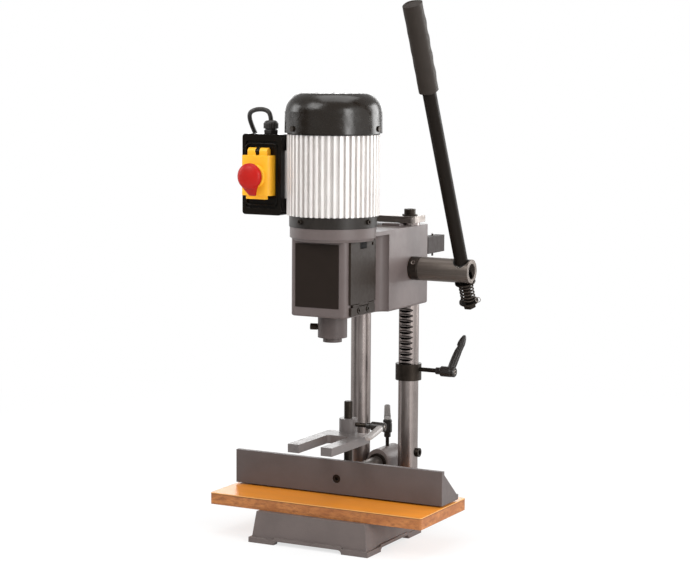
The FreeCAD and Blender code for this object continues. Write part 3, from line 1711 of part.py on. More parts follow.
def switch_box():
    """The black box with a recessed front, button wells and the flap's hinge lug."""
    case = Piece("switch_box")
    left, right, low, high = s.box_left, s.box_right, s.box_low, s.box_high
    outline = rounded_rectangle((left, right), (low, high), s.box_corner)
    case.pad("XZ", outline, s.box_front, s.box_back)
    side, end = s.bezel_side, s.bezel_end
    case.pocket(
        "XZ", rounded_rectangle((left + side, right - side), (low + end, high - end), s.box_corner),
        s.box_front - PAST, recess_face(),
    )
    middle = (left + right) / 2
    half = s.button_width / 2 + s.air_gap
    for height in (s.stop_button_z, s.start_button_z):
        tall = s.button_height / 2 + s.air_gap
        case.cut_box(
            (middle - half, middle + half), (recess_face() - PAST, recess_face() + s.button_well),
            (height - tall, height + tall),
        )
    inner, outer = ear_spans()
    lug = (inner[1] + s.air_gap, outer[0] - s.air_gap)
    axis_y, axis_z, knuckle = s.flap_axis_y, s.flap_axis_height, s.flap_knuckle
    case.box(lug, (axis_y, recess_face() + PAST), (axis_z - knuckle, axis_z + knuckle))
    case.cylinder(knuckle, lug[1] - lug[0], (lug[0], axis_y, axis_z), "X")
    case.cut_cylinder(
        s.flap_pin_radius + s.thread_gap, lug[1] - lug[0] + PAST * 2,
        (lug[0] - PAST, axis_y, axis_z), "X",
    )


def flap_pin():
    """The flap's hinge pin."""
    length = s.flap_ear_right - s.flap_ear_left
    node("flap_pin", cylinder(
        s.flap_pin_radius, length, (s.flap_ear_left, s.flap_axis_y, s.flap_axis_height), "X"
    ))


def buttons():
    """The stop and start buttons, each in its well."""
    middle = (s.box_left + s.box_right) / 2
    half, tall = s.button_width / 2, s.button_height / 2
    back = recess_face() + s.button_well - s.press_travel - s.air_gap
    front = recess_face() - s.button_proud
    for label, height in (("stop_button", s.stop_button_z), ("start_button", s.start_button_z)):
        button = Piece(label)
        outline = rounded_rectangle(
            (middle - half, middle + half), (height - tall, height + tall), s.button_corner
        )
        button.pad("XZ", outline, front, back)


def flap_cover():
    """The yellow hinged flap: a shallow tray over the buttons, with two ears and a finger lip."""
    flap = Piece("flap_cover")
    left, right, low, high = s.flap_left, s.flap_right, s.flap_low, s.flap_high
    back = recess_face() - s.flap_gap
    front = back - s.flap_reach
    wall = s.flap_wall
    flap.pad("XZ", rounded_rectangle((left, right), (low, high), s.flap_corner), front, back)
    flap.cut_box(
        (left + wall, right - wall), (front + wall, back + PAST), (low + wall, high - wall)
    )
    axis_y, axis_z, knuckle = s.flap_axis_y, s.flap_axis_height, s.flap_knuckle
    for span in ear_spans():
        flap.cylinder(knuckle, s.flap_knuckle_width, (span[0], axis_y, axis_z), "X")
        flap.box(span, (axis_y - knuckle, axis_y + knuckle), (high - wall, axis_z))
    flap.cut_cylinder(
        s.flap_pin_radius + s.running_gap, s.flap_ear_right - s.flap_ear_left + PAST * 2,
        (s.flap_ear_left - PAST, axis_y, axis_z), "X",
    )
    inset = s.flap_knuckle
    lip_back = front + s.flap_reach / 2
    flap.box(
        (left + inset, right - inset), (lip_back - wall, lip_back), (low - s.flap_lip, low + wall)
    )
    flap.cut_cylinder(
        s.mushroom_stem + s.running_gap, wall + PAST * 2,
        (s.mushroom_x, front - PAST, s.mushroom_height), "Y",
    )


def stop_mushroom():
    """The red mushroom head on the flap, with its stem and the tongue below."""
    head = Piece("stop_mushroom")
    flap_front = recess_face() - s.flap_gap - s.flap_reach
    tip = flap_front - s.mushroom_reach
    radius, rim = s.mushroom_radius, s.mushroom_thickness
    stem_end = flap_front + s.flap_wall + s.mushroom_stem
    head.revolve([
        (0, 0), (radius - s.mushroom_round, 0, s.mushroom_round, 1), (radius, s.mushroom_round),
        (radius, rim - PAST), (radius - PAST, rim), (s.mushroom_stem, rim),
        (s.mushroom_stem, stem_end - tip), (0, stem_end - tip),
    ])
    half = s.tongue_width / 2
    root = half * 1.3
    foot = s.mushroom_height - s.tongue_low
    gap = flap_front - s.press_travel - s.air_gap - tip
    head.pad("XY", [
        (-root, 0), (root, 0), (half, foot), (-half, foot),
    ], rim - s.mushroom_round, gap)
    oriented(head.body, (s.mushroom_x, tip, s.mushroom_height), (0, 1, 0), (1, 0, 0))


def cable_gland():
    """The cable gland on the box's top: flange, neck, ribbed nut and dome."""
    gland = Piece("cable_gland")
    radius, bore = s.gland_radius, s.cord_radius + s.thread_gap
    base = s.box_high + s.thread_gap
    flange = s.box_high + s.gland_flange
    neck = flange + s.gland_neck
    nut = neck + s.gland_nut
    top = nut + s.gland_dome
    gland.revolve([
        (bore, base), (radius, base), (radius, flange), (radius * 0.8, flange),
        (radius * 0.8, neck), (radius, neck), (radius, nut, radius, 1), (bore + PAST, top),
        (bore, top),
    ])
    groove = gland.cut_cylinder(PAST, s.gland_nut + PAST, (radius + PAST / 2, 0, neck + PAST))
    gland.around_z(groove, s.gland_grooves)
    gland.at(s.gland_x, s.gland_y, 0)


# ---- Pinion and operating lever -----------------------------------------------------------------


def pinion_shaft():
    """The shaft with its involute pinion."""
    module, teeth = s.tooth_module.number, DIMENSIONS["pinion_teeth"]
    angle = math.radians(s.pressure_angle.number)
    pitch_radius = module * teeth / 2
    base_radius = pitch_radius * math.cos(angle)
    tip_radius = pitch_radius + module * s.addendum_factor.number
    root_radius = pitch_radius - module * s.dedendum_factor.number
    half_pitch = (math.pi * module / 4 - s.tooth_play.number / 2) / pitch_radius

    def involute(value):
        return math.tan(value) - value

    def half_angle(radius):
        if radius <= base_radius:
            return half_pitch + involute(angle)
        return half_pitch + involute(angle) - involute(math.acos(base_radius / radius))

    steps = 5
    radii = [root_radius]
    radii += [base_radius + (tip_radius - base_radius) * step / steps for step in range(steps + 1)]
    points = []
    for tooth in range(teeth):
        middle = math.tau * tooth / teeth
        flank = [(radius, half_angle(radius)) for radius in radii]
        for radius, half in flank:
            points.append(Vector(radius * math.cos(middle - half), radius * math.sin(middle - half)))
        for radius, half in reversed(flank):
            points.append(Vector(radius * math.cos(middle + half), radius * math.sin(middle + half)))
    face = Part.Face(Part.makePolygon(points + points[:1]))
    gear = face.extrude(Vector(0, 0, s.pinion_width.number))
    left = -s.rear_half_width.number - s.spring_case_depth.number + s.spring_case_wall.number * 2
    gear_low = s.column_x.number - s.pinion_width.number / 2
    gear.translate(Vector(0, 0, gear_low))
    shaft = Part.makeCylinder(
        s.shaft_radius.number, s.shaft_end.number - left, Vector(0, 0, left)
    )
    whole = shaped(gear.fuse(shaft).removeSplitter())
    # The gear's own X, where tooth 0 points, lies along +Y, towards the rack.
    oriented(whole, (0, pinion_axis_y(), s.pinion_height), (1, 0, 0), (0, 1, 0))
    node("pinion_shaft", whole)


def hub_ring():
    """The black ring on the shaft beside the head, with its grub screw hole."""
    ring = Piece("hub_ring")
    start = s.rear_half_width + s.hub_gap
    axis = (pinion_axis_y(), s.pinion_height)
    ring.cylinder(s.hub_radius, s.hub_ring_length, (start, *axis), "X")
    ring.cut_cylinder(
        s.shaft_radius + s.thread_gap, s.hub_ring_length + PAST * 2, (start - PAST, *axis), "X"
    )
    ring.cut_cylinder(
        s.grub_radius, s.hub_radius + PAST, (start + s.grub_place, *axis), "Z"
    )


def lever_hub():
    """The lever's tube, open at its end, with the cross hole and seats for the rod."""
    hub = Piece("lever_hub")
    start = s.rear_half_width + s.hub_gap * 2 + s.hub_ring_length
    hub.cylinder(s.hub_radius, s.hub_end - start, (start, 0, 0), "X")
    hub.cut_cylinder(
        s.shaft_radius + s.running_gap, s.shaft_end - start + PAST * 1.5, (start - PAST, 0, 0), "X"
    )
    bore_start = s.shaft_end + s.air_gap
    hub.cut_cylinder(s.hub_bore, s.hub_end - bore_start + PAST, (bore_start, 0, 0), "X")
    rod_x = s.rod_plane
    turn = Rotation(Vector(1, 0, 0), s.rod_lean.number)
    up = turn.multVec(Vector(0, 0, 1))
    cuts = (
        (s.rod_neck + s.running_gap, -s.hub_radius - PAST, s.hub_radius + PAST),
        (s.rod_radius + s.air_gap, s.rod_seat, s.hub_radius + PAST),
        (s.grip_radius, -s.hub_radius - PAST, -s.spring_seat),
    )
    for radius, low, high in cuts:
        tool = hub.feature("SubtractiveCylinder")
        bind(tool, "Radius", radius)
        bind(tool, "Height", high - low)
        tool.Placement = Placement(up * sized(low).number, turn)
        bind(tool, "Placement.Base.x", rod_x)
        bind(tool, "Placement.Base.y", sized(low) * up.y)
        bind(tool, "Placement.Base.z", sized(low) * up.z)
    hub.at(0, pinion_axis_y(), s.pinion_height)


def on_rod(thing):
    """Puts a piece made along the rod's own axis in its place on the hub."""
    turned(thing, (s.rod_plane, pinion_axis_y(), s.pinion_height), (1, 0, 0), s.rod_lean)
    return thing


def lever_rod():
    """The rod: thick above the hub, thinner through it, down to its threaded tail."""
    rod = Piece("lever_rod")
    neck, radius = s.rod_neck, s.rod_radius
    tail, top = -s.rod_tail, s.grip_end - s.grip_radius
    rod.revolve([
        (0, tail), (neck - PAST, tail), (neck, tail + PAST), (neck, s.rod_shoulder),
        (radius, s.rod_shoulder), (radius, s.grip_start - PAST), (neck + PAST, s.grip_start),
        (neck + PAST, top), (0, top),
    ])
    rod.cut_cylinder(
        s.split_pin_wire + s.thread_gap, neck * 4, (-neck * 2, 0, pin_height()), "X"
    )
    on_rod(rod.body)


def washer_top():
    """Where the washer under the spring starts, along the rod."""
    return -s.lever_spring_end - s.thread_gap


def nut_top():
    """Where the nut starts, along the rod."""
    return washer_top() - s.lever_washer_thickness - s.thread_gap


def pin_height():
    """Where the split pin crosses the rod."""
    return nut_top() - s.lever_nut_length / 2


def lever_grip():
    """The rubber grip, with finger swells on its rear side."""
    grip = Piece("lever_grip")
    low, high, radius = s.grip_start + s.thread_gap, s.grip_end, s.grip_radius
    flare = s.grip_swell
    grip.revolve([
        (0, low), (radius - flare, low), (radius, low + radius),
        (radius, high - flare * 2), (radius - flare * 2, high), (0, high),
    ])
    pitch = (high - low - radius * 2) / s.grip_waves
    for index in range(DIMENSIONS["grip_waves"]):
        swell = grip.feature("AdditiveEllipsoid")
        bind(swell, "Radius1", pitch * 0.62)
        bind(swell, "Radius2", radius)
        bind(swell, "Radius3", radius)
        stand(swell, (0, flare * 1.6, low + radius + pitch * (index + 0.5)))
    grip.cut_cylinder(
        s.rod_neck + PAST + s.thread_gap, high - radius - low + PAST * 2 + s.thread_gap,
        (0, 0, low - PAST * 2),
    )
    on_rod(grip.body)


def lever_spring():
    """The coil spring between the hub and the washer."""
    coil, wire = s.lever_spring_coil.number, s.lever_spring_wire.number
    low = -s.lever_spring_end.number + wire
    high = -s.spring_seat.number - wire - s.air_gap.number
    turns = s.lever_spring_turns.number
    helix = Part.makeHelix((high - low) / turns, high - low, coil)
    section = Part.Wire(Part.makeCircle(wire, Vector(coil, 0, 0), Vector(0, 1, 0)))
    spring = shaped(helix.makePipeShell([section], True, True))
    base = Placement(Vector(0, 0, low), Rotation())
    body = spring.Shape.copy()
    body.Placement = base
    spring.Shape = body.copy()
    joined = doc.addObject("Part::Refine", "refined")
    joined.Source = spring
    on_rod(joined)
    node("lever_spring", joined)


def lever_nut():
    """The washer, the nut and the split pin at the rod's tail."""
    bore = s.rod_neck + s.thread_gap
    thick = s.lever_washer_thickness
    washer = cut(
        cylinder(s.lever_washer_radius, thick, (0, 0, washer_top() - thick)),
        cylinder(bore, thick + PAST * 2, (0, 0, washer_top() - thick - PAST)),
    )
    length = s.lever_nut_length
    nut = cut(
        hexagon(s.lever_nut_flat, length, (0, 0, nut_top() - length)),
        cylinder(bore, length + PAST * 2, (0, 0, nut_top() - length - PAST)),
        cylinder(s.split_pin_wire + s.thread_gap, s.lever_nut_flat * 4,
                 (-s.lever_nut_flat * 2, 0, pin_height()), "X"),
    )
    pin = fuse(
        cylinder(
            s.split_pin_wire, s.split_pin_reach * 2, (-s.split_pin_reach, 0, pin_height()), "X"
        ),
        cylinder(
            s.split_pin_wire * 2, s.split_pin_wire * 2, (s.split_pin_reach, 0, pin_height()), "X"
        ),
    )
    for thing in (washer, nut, pin):
        on_rod(thing)
    node("lever_nut", group([washer, nut, pin]))


# ---- Power cord ---------------------------------------------------------------------------------

CORD_ROUTE = [
    (-103.8, -20.7, 636.1),
    (-104.3, -20.7, 646.0),
    (-113.0, -20.0, 653.0),
    (-133.0, -17.0, 653.0),
    (-151.0, -8.0, 646.0),
    (-155.0, 9.0, 626.0),
    (-149.0, 28.0, 596.0),
    (-136.0, 54.0, 564.0),
    (-117.0, 84.0, 534.0),
    (-94.0, 116.0, 508.0),
    (-74.0, 144.0, 494.0),
    (-58.4, 172.0, 490.7),
    (-60.0, 194.0, 489.4),
    (-64.0, 207.0, 468.0),
    (-67.0, 211.0, 430.0),
    (-66.0, 213.0, 376.0),
    (-68.0, 214.0, 316.0),
    (-67.0, 217.0, 256.0),
    (-69.0, 218.0, 196.0),
    (-68.0, 222.0, 138.0),
    (-70.0, 224.0, 88.0),
    (-72.0, 231.0, 48.0),
    (-67.0, 246.0, 17.0),
    (-51.0, 259.0, 5.5),
    (-41.0, 268.0, 4.5),
]


def cord_path(points):
    """Straight runs joined by tangent arcs, each arc as large as its two runs allow."""
    corners = [Vector(*point) for point in points]
    edges, start = [], corners[0]
    radii = []
    for before, corner, after in zip(corners, corners[1:], corners[2:]):
        way_in, way_out = corner - before, after - corner
        shorter = min(way_in.Length, way_out.Length)
        half_turn = way_in.getAngle(way_out) / 2
        reach = 0.45 * shorter
        radii.append(reach / math.tan(half_turn))
        first = corner - way_in.normalize() * reach
        last = corner + way_out.normalize() * reach
        chord_middle = (first + last) * 0.5
        towards = (chord_middle - corner).normalize()
        depth = (corner - chord_middle).Length
        sagitta = radii[-1] * (1 - math.cos(half_turn))
        middle = chord_middle - towards * sagitta
        assert sagitta < depth
        edges.append(Part.LineSegment(start, first).toShape())
        edges.append(Part.Arc(first, middle, last).toShape())
        start = last
    edges.append(Part.LineSegment(start, corners[-1]).toShape())
    print("cord arc radii", [round(radius, 1) for radius in radii])
    return Part.Wire(edges)


def power_cord():
    """The free cord from the gland, over the tie plate and down to the floor."""
    radius = s.cord_radius.number
    path = cord_path(CORD_ROUTE)
    first = path.Edges[0]
    start, way = first.valueAt(first.FirstParameter), first.tangentAt(first.FirstParameter)
    section = Part.Wire(Part.makeCircle(radius, start, way))
    tube = path.makePipeShell([section], True, True)
    wanted = math.pi * radius * radius * path.Length
    print("cord length", round(path.Length, 1), "volume ratio", round(tube.Volume / wanted, 4))
    node("power_cord", shaped(tube))


def cord_coil():
    """The put-away length of the cord, as one ring of its outer shape."""
    coil = Piece("cord_coil")
    inner = s.coil_radius - s.cord_radius * 2
    outer = s.coil_radius + s.cord_radius * 2
    round_off = s.cord_radius
    high = s.cord_radius * 4
    coil.revolve([
        (inner + round_off, 0), (outer - round_off, 0, round_off, 1), (outer, round_off),
        (outer, high - round_off, round_off, 1), (outer - round_off, high),
        (inner + round_off, high, round_off, 1), (inner, high - round_off),
        (inner, round_off, round_off, 1),
    ])
    coil.at(s.coil_x, s.coil_y, 0)


def power_plug():
    """The plug that lies on the coil, with three flat pins."""
    plug = Piece("power_plug")
    half, depth, length = s.plug_half_width, s.plug_depth, s.plug_length
    plug.loft([
        plug.outline("XY", rounded_rectangle(both_sides(half), (0, length), s.plug_corner), 0),
        plug.outline(
            "XY",
            rounded_rectangle(both_sides(half - s.plug_taper), (s.plug_taper, length - s.plug_taper),
                              s.plug_corner),
            depth,
        ),
    ])
    plug.cylinder(s.plug_boot, s.plug_boot_length, (0, -s.plug_boot_length, depth / 2), "Y")
    wide, thin, reach = s.pin_width / 2, s.pin_thickness / 2, s.pin_reach
    earth_y = length * 0.75
    plug.box(both_sides(thin), (earth_y - wide, earth_y + wide), (depth - s.plug_taper, depth + reach))
    for side in (-1, 1):
        x = s.pin_spread * side
        plug.box((x - wide, x + wide), (length * 0.3 - thin, length * 0.3 + thin),
                 (depth - s.plug_taper, depth + reach * 0.8))
    boot_end = s.coil_x - s.coil_radius - s.cord_radius * 2
    turned(plug.body, (boot_end - s.plug_boot_length, s.coil_y, 0), (0, 0, 1), 90)


# ---- Build, check and write ---------------------------------------------------------------------


def build():
    """Makes every sub-part."""
    base_casting()
    table_board()
    column("left_column", -1)
    right_column()
    base_screws()
    tie_plate()
    tie_bolts()
    bar_bush()
    fence_casting()
    fence_bar()
    fence_screw()
    holddown_post()
    holddown_fork()
    depth_collar()
    clamp_levers()
    head_casting()
    pinion_bush()
    spring_case()
    return_spring()
    chisel_holder()
    tool_rack()
    hex_key()
    hinge_block()
    hinge_hardware()
    chamber_door()
    name_plate()
    motor_base()
    motor_housing()
    stator()
    end_shield()
    fan_cover()
    cover_screws()
    motor_bearings()
    rotor_shaft()
    motor_fan()
    chuck()
    switch_box()
    flap_pin()
    buttons()
    flap_cover()
    stop_mushroom()
    cable_gland()
    pinion_shaft()
    hub_ring()
    lever_hub()
    lever_rod()
    lever_grip()
    lever_spring()
    lever_nut()
    power_cord()
    cord_coil()
    power_plug()


def check():
    """Stops with a plain message if any object or shape is bad."""
    doc.recompute()
    for thing in doc.Objects:
        bad = [word for word in thing.State if word in ("Invalid", "Error")]
        if bad:
            raise RuntimeError(f"{thing.Name} ({thing.Label}) is {thing.State}")
    labels = [thing.Label for thing in nodes]
    if len(set(labels)) != len(labels):
        raise RuntimeError("two sub-parts share a name")
    for thing in nodes:
        if thing.Shape.isNull() or not thing.Shape.isValid() or thing.Shape.Volume <= 0:
            raise RuntimeError(f"{thing.Label} has no valid solid")


def write():
    """Writes one STEP file for each sub-part."""
    os.makedirs("parts", exist_ok=True)
    for thing in nodes:
        thing.Shape.exportStep(f"parts/{thing.Label}.step")
    print(len(nodes), "sub-parts written")


build()
check()
write()
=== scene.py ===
"""A benchtop mortiser: finishes, lead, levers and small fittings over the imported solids."""

import logging
import math
from dataclasses import dataclass
from enum import Enum
from typing import Sequence

import bmesh
import bpy
from mathutils import Matrix, Vector

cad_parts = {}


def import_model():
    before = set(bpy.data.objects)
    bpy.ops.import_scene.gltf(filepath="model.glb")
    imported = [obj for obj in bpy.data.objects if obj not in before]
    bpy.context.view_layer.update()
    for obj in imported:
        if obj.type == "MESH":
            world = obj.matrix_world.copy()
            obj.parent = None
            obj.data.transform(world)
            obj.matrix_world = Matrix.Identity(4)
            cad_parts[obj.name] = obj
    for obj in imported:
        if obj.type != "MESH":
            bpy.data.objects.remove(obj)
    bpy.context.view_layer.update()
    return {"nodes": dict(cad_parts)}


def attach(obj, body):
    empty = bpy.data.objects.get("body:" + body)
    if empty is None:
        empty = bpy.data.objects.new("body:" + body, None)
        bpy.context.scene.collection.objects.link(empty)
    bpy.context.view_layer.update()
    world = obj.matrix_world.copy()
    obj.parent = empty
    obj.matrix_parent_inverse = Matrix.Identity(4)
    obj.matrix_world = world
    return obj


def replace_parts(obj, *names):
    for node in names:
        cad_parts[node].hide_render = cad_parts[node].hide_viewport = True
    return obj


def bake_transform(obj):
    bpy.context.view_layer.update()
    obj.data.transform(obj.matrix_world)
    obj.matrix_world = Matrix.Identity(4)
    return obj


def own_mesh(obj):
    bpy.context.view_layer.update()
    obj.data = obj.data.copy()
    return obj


LOG = logging.getLogger("mortiser")
MM = 0.001
Point = tuple[float, float, float]
Outline = Sequence[tuple[float, float]]
ROD_X, HUB_Y, HUB_Z = 148.0, 133.675, 406.8
ROD_ALONG: Point = (0.0, -0.42104, 0.90704)
SHADER = "Principled BSDF"


def linear(code: str) -> tuple[float, float, float, float]:
    """Turn a written colour into scene values.

    Args:
        code: Six hexadecimal digits, red first.

    Returns:
        Red, green, blue and an alpha of one, in linear light.
    """
    parts = [int(code[i : i + 2], 16) / 255 for i in (0, 2, 4)]
    steps = [v / 12.92 if v <= 0.04045 else ((v + 0.055) / 1.055) ** 2.4 for v in parts]
    return (steps[0], steps[1], steps[2], 1.0)


# ---- Shader effects -----------------------------------------------------------------------------


class Wiring:
    """A short way to place and link nodes in one node tree."""

    def __init__(self, tree: bpy.types.NodeTree) -> None:
        """Keep the tree that the nodes go in."""
        self.tree = tree
        self.column = 0

    def node(self, kind: str, **settings: object) -> bpy.types.Node:
        """Place a node and set its properties and inputs.

        Args:
            kind: The node's type name, without the ShaderNode prefix.
            settings: Property names, or input names with spaces written as underscores.

        Returns:
            The new node.
        """
        item = self.tree.nodes.new(f"ShaderNode{kind}")
        self.column += 1
        item.location = (self.column * 60, -(self.column % 6) * 90)
        for key, value in settings.items():
            if hasattr(item, key):
                setattr(item, key, value)
            else:
                self.feed(item, key.replace("_", " "), value)
        return item

    def feed(self, item: bpy.types.Node, name: str | int, value: object) -> None:
        """Link a socket to an input, or write a constant on it.

        Args:
            item: The node.
            name: The input's name or number.
            value: The socket or the constant.
        """
        target = item.inputs[name]
        if isinstance(value, bpy.types.NodeSocket):
            self.tree.links.new(value, target)
        else:
            target.default_value = value

    def math(self, kind: str, a: object, b: object = 0.5, clamp: bool = False) -> bpy.types.NodeSocket:
        """Place a math node.

        Args:
            kind: The operation.
            a: The first number or socket.
            b: The second number or socket.
            clamp: Whether the result stays between zero and one.

        Returns:
            The result's socket.
        """
        item = self.node("Math", operation=kind, use_clamp=clamp)
        self.feed(item, 0, a)
        self.feed(item, 1, b)
        return item.outputs[0]

    def ramp(
        self, value: object, low: float, high: float, start: float = 0.0, end: float = 1.0,
    ) -> bpy.types.NodeSocket:
        """Map a range of values smoothly to another one.

        Args:
            value: The number's socket.
            low: The value that gives the start.
            high: The value that gives the end.
            start: The result at low and below.
            end: The result at high and above.

        Returns:
            The result's socket.
        """
        item = self.node("MapRange", interpolation_type="SMOOTHSTEP")
        for place, number in enumerate((value, low, high, start, end)):
            self.feed(item, place, number)
        return item.outputs[0]

    def vector(self, kind: str, a: object, b: object = (0.0, 0.0, 0.0)) -> bpy.types.Node:
        """Place a vector math node.

        Args:
            kind: The operation.
            a: The first vector or socket.
            b: The second vector or socket.

        Returns:
            The new node.
        """
        item = self.node("VectorMath", operation=kind)
        self.feed(item, 0, a)
        self.feed(item, 1, b)
        return item

    def blend(self, share: object, a: object, b: object) -> bpy.types.NodeSocket:
        """Mix two colours.

        Args:
            share: How much of the second colour shows.
            a: The first colour.
            b: The second colour.

        Returns:
            The mixed colour's socket.
        """
        item = self.node("Mix", data_type="RGBA")
        self.feed(item, 0, share)
        self.feed(item, 6, a)
        self.feed(item, 7, b)
        return item.outputs[2]

    def place(self, stretch: Point = (1.0, 1.0, 1.0)) -> bpy.types.NodeSocket:
        """Give the piece's own coordinates.

        Args:
            stretch: The factor along each axis.

        Returns:
            The coordinates' socket.
        """
        item = self.node("Mapping", vector_type="POINT")
        self.feed(item, 0, self.node("TexCoord").outputs["Object"])
        item.inputs["Scale"].default_value = stretch
        return item.outputs[0]

    def upward(self) -> bpy.types.NodeSocket:
        """Give how far the surface faces up, from minus one to one."""
        normal = self.node("NewGeometry").outputs["Normal"]
        return self.node("SeparateXYZ", Vector=normal).outputs["Z"]

    def noise(
        self, where: object, scale: object, detail: float = 3.0, rough: float = 0.55,
    ) -> bpy.types.NodeSocket:
        """Place a noise texture and return its value."""
        item = self.node("TexNoise", Vector=where, Scale=scale, Detail=detail, Roughness=rough)
        return item.outputs["Fac"]


class Effect(Enum):
    """The shader effects that several finishes share."""

    WORN_EDGE = "worn edge"
    FINE_GRAIN = "fine grain"
    MOTTLE = "mottle"
    BRUSHING = "brushing"
    DUST = "settled dust"


class EffectShelf:
    """Builds each shared effect once and places it in the finishes."""

    def __init__(self) -> None:
        """Start with no effect built."""
        self.groups: dict[Effect, bpy.types.NodeTree] = {}

    def place(self, wires: Wiring, effect: Effect, **values: object) -> bpy.types.Node:
        """Place an effect in a material.

        Args:
            wires: The material's wiring.
            effect: Which effect.
            values: Its inputs, with spaces written as underscores.

        Returns:
            The group node.
        """
        if effect not in self.groups:
            self.groups[effect] = self.make(effect)
        item = wires.tree.nodes.new("ShaderNodeGroup")
        item.node_tree = self.groups[effect]
        for key, value in values.items():
            wires.feed(item, key.replace("_", " "), value)
        return item

    def make(self, effect: Effect) -> bpy.types.NodeTree:
        """Build one effect's group."""
        makers = (self.worn_edge, self.fine_grain, self.mottle, self.brushing, self.dust)
        return dict(zip(Effect, makers))[effect]()

    @staticmethod
    def begin(
        effect: Effect, inputs: dict[str, tuple[str, object]], outputs: dict[str, str],
    ) -> tuple[Wiring, dict[str, bpy.types.NodeSocket], bpy.types.Node]:
        """Open a group with its named sockets.

        Args:
            effect: The effect that the group is for.
            inputs: For each input its kind and default.
            outputs: For each output its kind.

        Returns:
            The group's wiring, its input sockets by name and its output node.
        """
        tree = bpy.data.node_groups.new(effect.value, "ShaderNodeTree")
        for name, (kind, default) in inputs.items():
            socket = tree.interface.new_socket(name, in_out="INPUT", socket_type=f"NodeSocket{kind}")
            socket.default_value = default
        for name, kind in outputs.items():
            tree.interface.new_socket(name, in_out="OUTPUT", socket_type=f"NodeSocket{kind}")
        entry = tree.nodes.new("NodeGroupInput")
        leave = tree.nodes.new("NodeGroupOutput")
        return Wiring(tree), {name: entry.outputs[name] for name in inputs}, leave

    def worn_edge(self) -> bpy.types.NodeTree:
        """Soften corners and mark where they rub bare.

        Returns:
            The effect's group.
        """
        w, i, out = self.begin(
            Effect.WORN_EDGE,
            {"Radius": ("Float", 0.001), "Patch scale": ("Float", 90.0), "Amount": ("Float", 1.0)},
            {"Mask": "Float", "Normal": "Vector"},
        )
        soft = w.node("Bevel", samples=4, Radius=i["Radius"])
        flat = w.node("NewGeometry")
        turn = w.vector("DOT_PRODUCT", soft.outputs[0], flat.outputs["Normal"])
        edge = w.ramp(w.math("SUBTRACT", 1.0, turn.outputs["Value"]), 0.02, 0.22)
        patch = w.ramp(w.noise(w.place(), i["Patch scale"], 4.0, 0.7), 0.42, 0.66)
        mask = w.math("MULTIPLY", w.math("MULTIPLY", edge, patch), i["Amount"], clamp=True)
        w.feed(out, "Mask", mask)
        w.feed(out, "Normal", soft.outputs[0])
        return w.tree

    def fine_grain(self) -> bpy.types.NodeTree:
        """Give the small lumps of a painted casting or a moulded skin.

        Returns:
            The effect's group.
        """
        w, i, out = self.begin(
            Effect.FINE_GRAIN,
            {"Scale": ("Float", 900.0), "Lumps": ("Float", 0.35)},
            {"Height": "Float", "Spread": "Float"},
        )
        where = w.place()
        fine = w.noise(where, i["Scale"], 2.0, 0.5)
        broad = w.noise(where, w.math("MULTIPLY", i["Scale"], 0.11), 3.0, 0.5)
        height = w.math("ADD", fine, w.math("MULTIPLY", broad, i["Lumps"]))
        w.feed(out, "Height", height)
        w.feed(out, "Spread", w.ramp(broad, 0.3, 0.7, -1.0, 1.0))
        return w.tree

    def mottle(self) -> bpy.types.NodeTree:
        """Vary a colour between two tones in soft clouds.

        Returns:
            The effect's group.
        """
        w, i, out = self.begin(
            Effect.MOTTLE,
            {
                "Tone": ("Color", (0.5, 0.5, 0.5, 1)), "Other tone": ("Color", (0.4, 0.4, 0.4, 1)),
                "Scale": ("Float", 25.0), "Share": ("Float", 0.5),
            },
            {"Colour": "Color"},
        )
        cloud = w.ramp(w.noise(w.place(), i["Scale"], 5.0, 0.6), 0.34, 0.68)
        w.feed(out, "Colour", w.blend(w.math("MULTIPLY", cloud, i["Share"]), i["Tone"], i["Other tone"]))
        return w.tree

    def brushing(self) -> bpy.types.NodeTree:
        """Draw long fine machining lines along one direction.

        Returns:
            The effect's group.
        """
        w, i, out = self.begin(
            Effect.BRUSHING,
            {"Place": ("Vector", (0, 0, 0)), "Scale": ("Float", 1500.0)},
            {"Height": "Float", "Streak": "Float"},
        )
        fine = w.noise(i["Place"], i["Scale"], 2.0, 0.6)
        wide = w.noise(i["Place"], w.math("MULTIPLY", i["Scale"], 0.13), 2.0, 0.5)
        w.feed(out, "Height", fine)
        both = w.math("ADD", w.math("MULTIPLY", fine, 0.4), w.math("MULTIPLY", wide, 0.6))
        w.feed(out, "Streak", w.ramp(both, 0.36, 0.64))
        return w.tree

    def dust(self) -> bpy.types.NodeTree:
        """Lay a thin film of dust on surfaces that face up.

        Returns:
            The effect's group.
        """
        w, i, out = self.begin(
            Effect.DUST,
            {
                "Colour": ("Color", (0.2, 0.2, 0.2, 1)), "Film": ("Color", (0.5, 0.45, 0.4, 1)),
                "Amount": ("Float", 0.2),
            },
            {"Colour": "Color"},
        )
        up = w.ramp(w.upward(), 0.35, 1.0)
        specks = w.ramp(w.noise(w.place(), 60.0, 6.0, 0.7), 0.4, 0.75)
        film = w.math("MULTIPLY", w.math("MULTIPLY", up, specks), i["Amount"])
        w.feed(out, "Colour", w.blend(film, i["Colour"], i["Film"]))
        return w.tree


SHELF = EffectShelf()


def blank(name: str) -> tuple[bpy.types.Material, Wiring, bpy.types.Node]:
    """Open a plain material.

    Args:
        name: Its name.

    Returns:
        The material, its wiring and its shader node.
    """
    material = bpy.data.materials.new(name)
    material.use_nodes = True
    return material, Wiring(material.node_tree), material.node_tree.nodes[SHADER]


# ---- Finishes -----------------------------------------------------------------------------------


class Way(Enum):
    """The direction of machining lines, as factors on the coordinates."""

    ALONG_X = (0.02, 1.0, 1.0)
    ALONG_Z = (1.0, 1.0, 0.02)
    EVEN = (1.0, 1.0, 1.0)


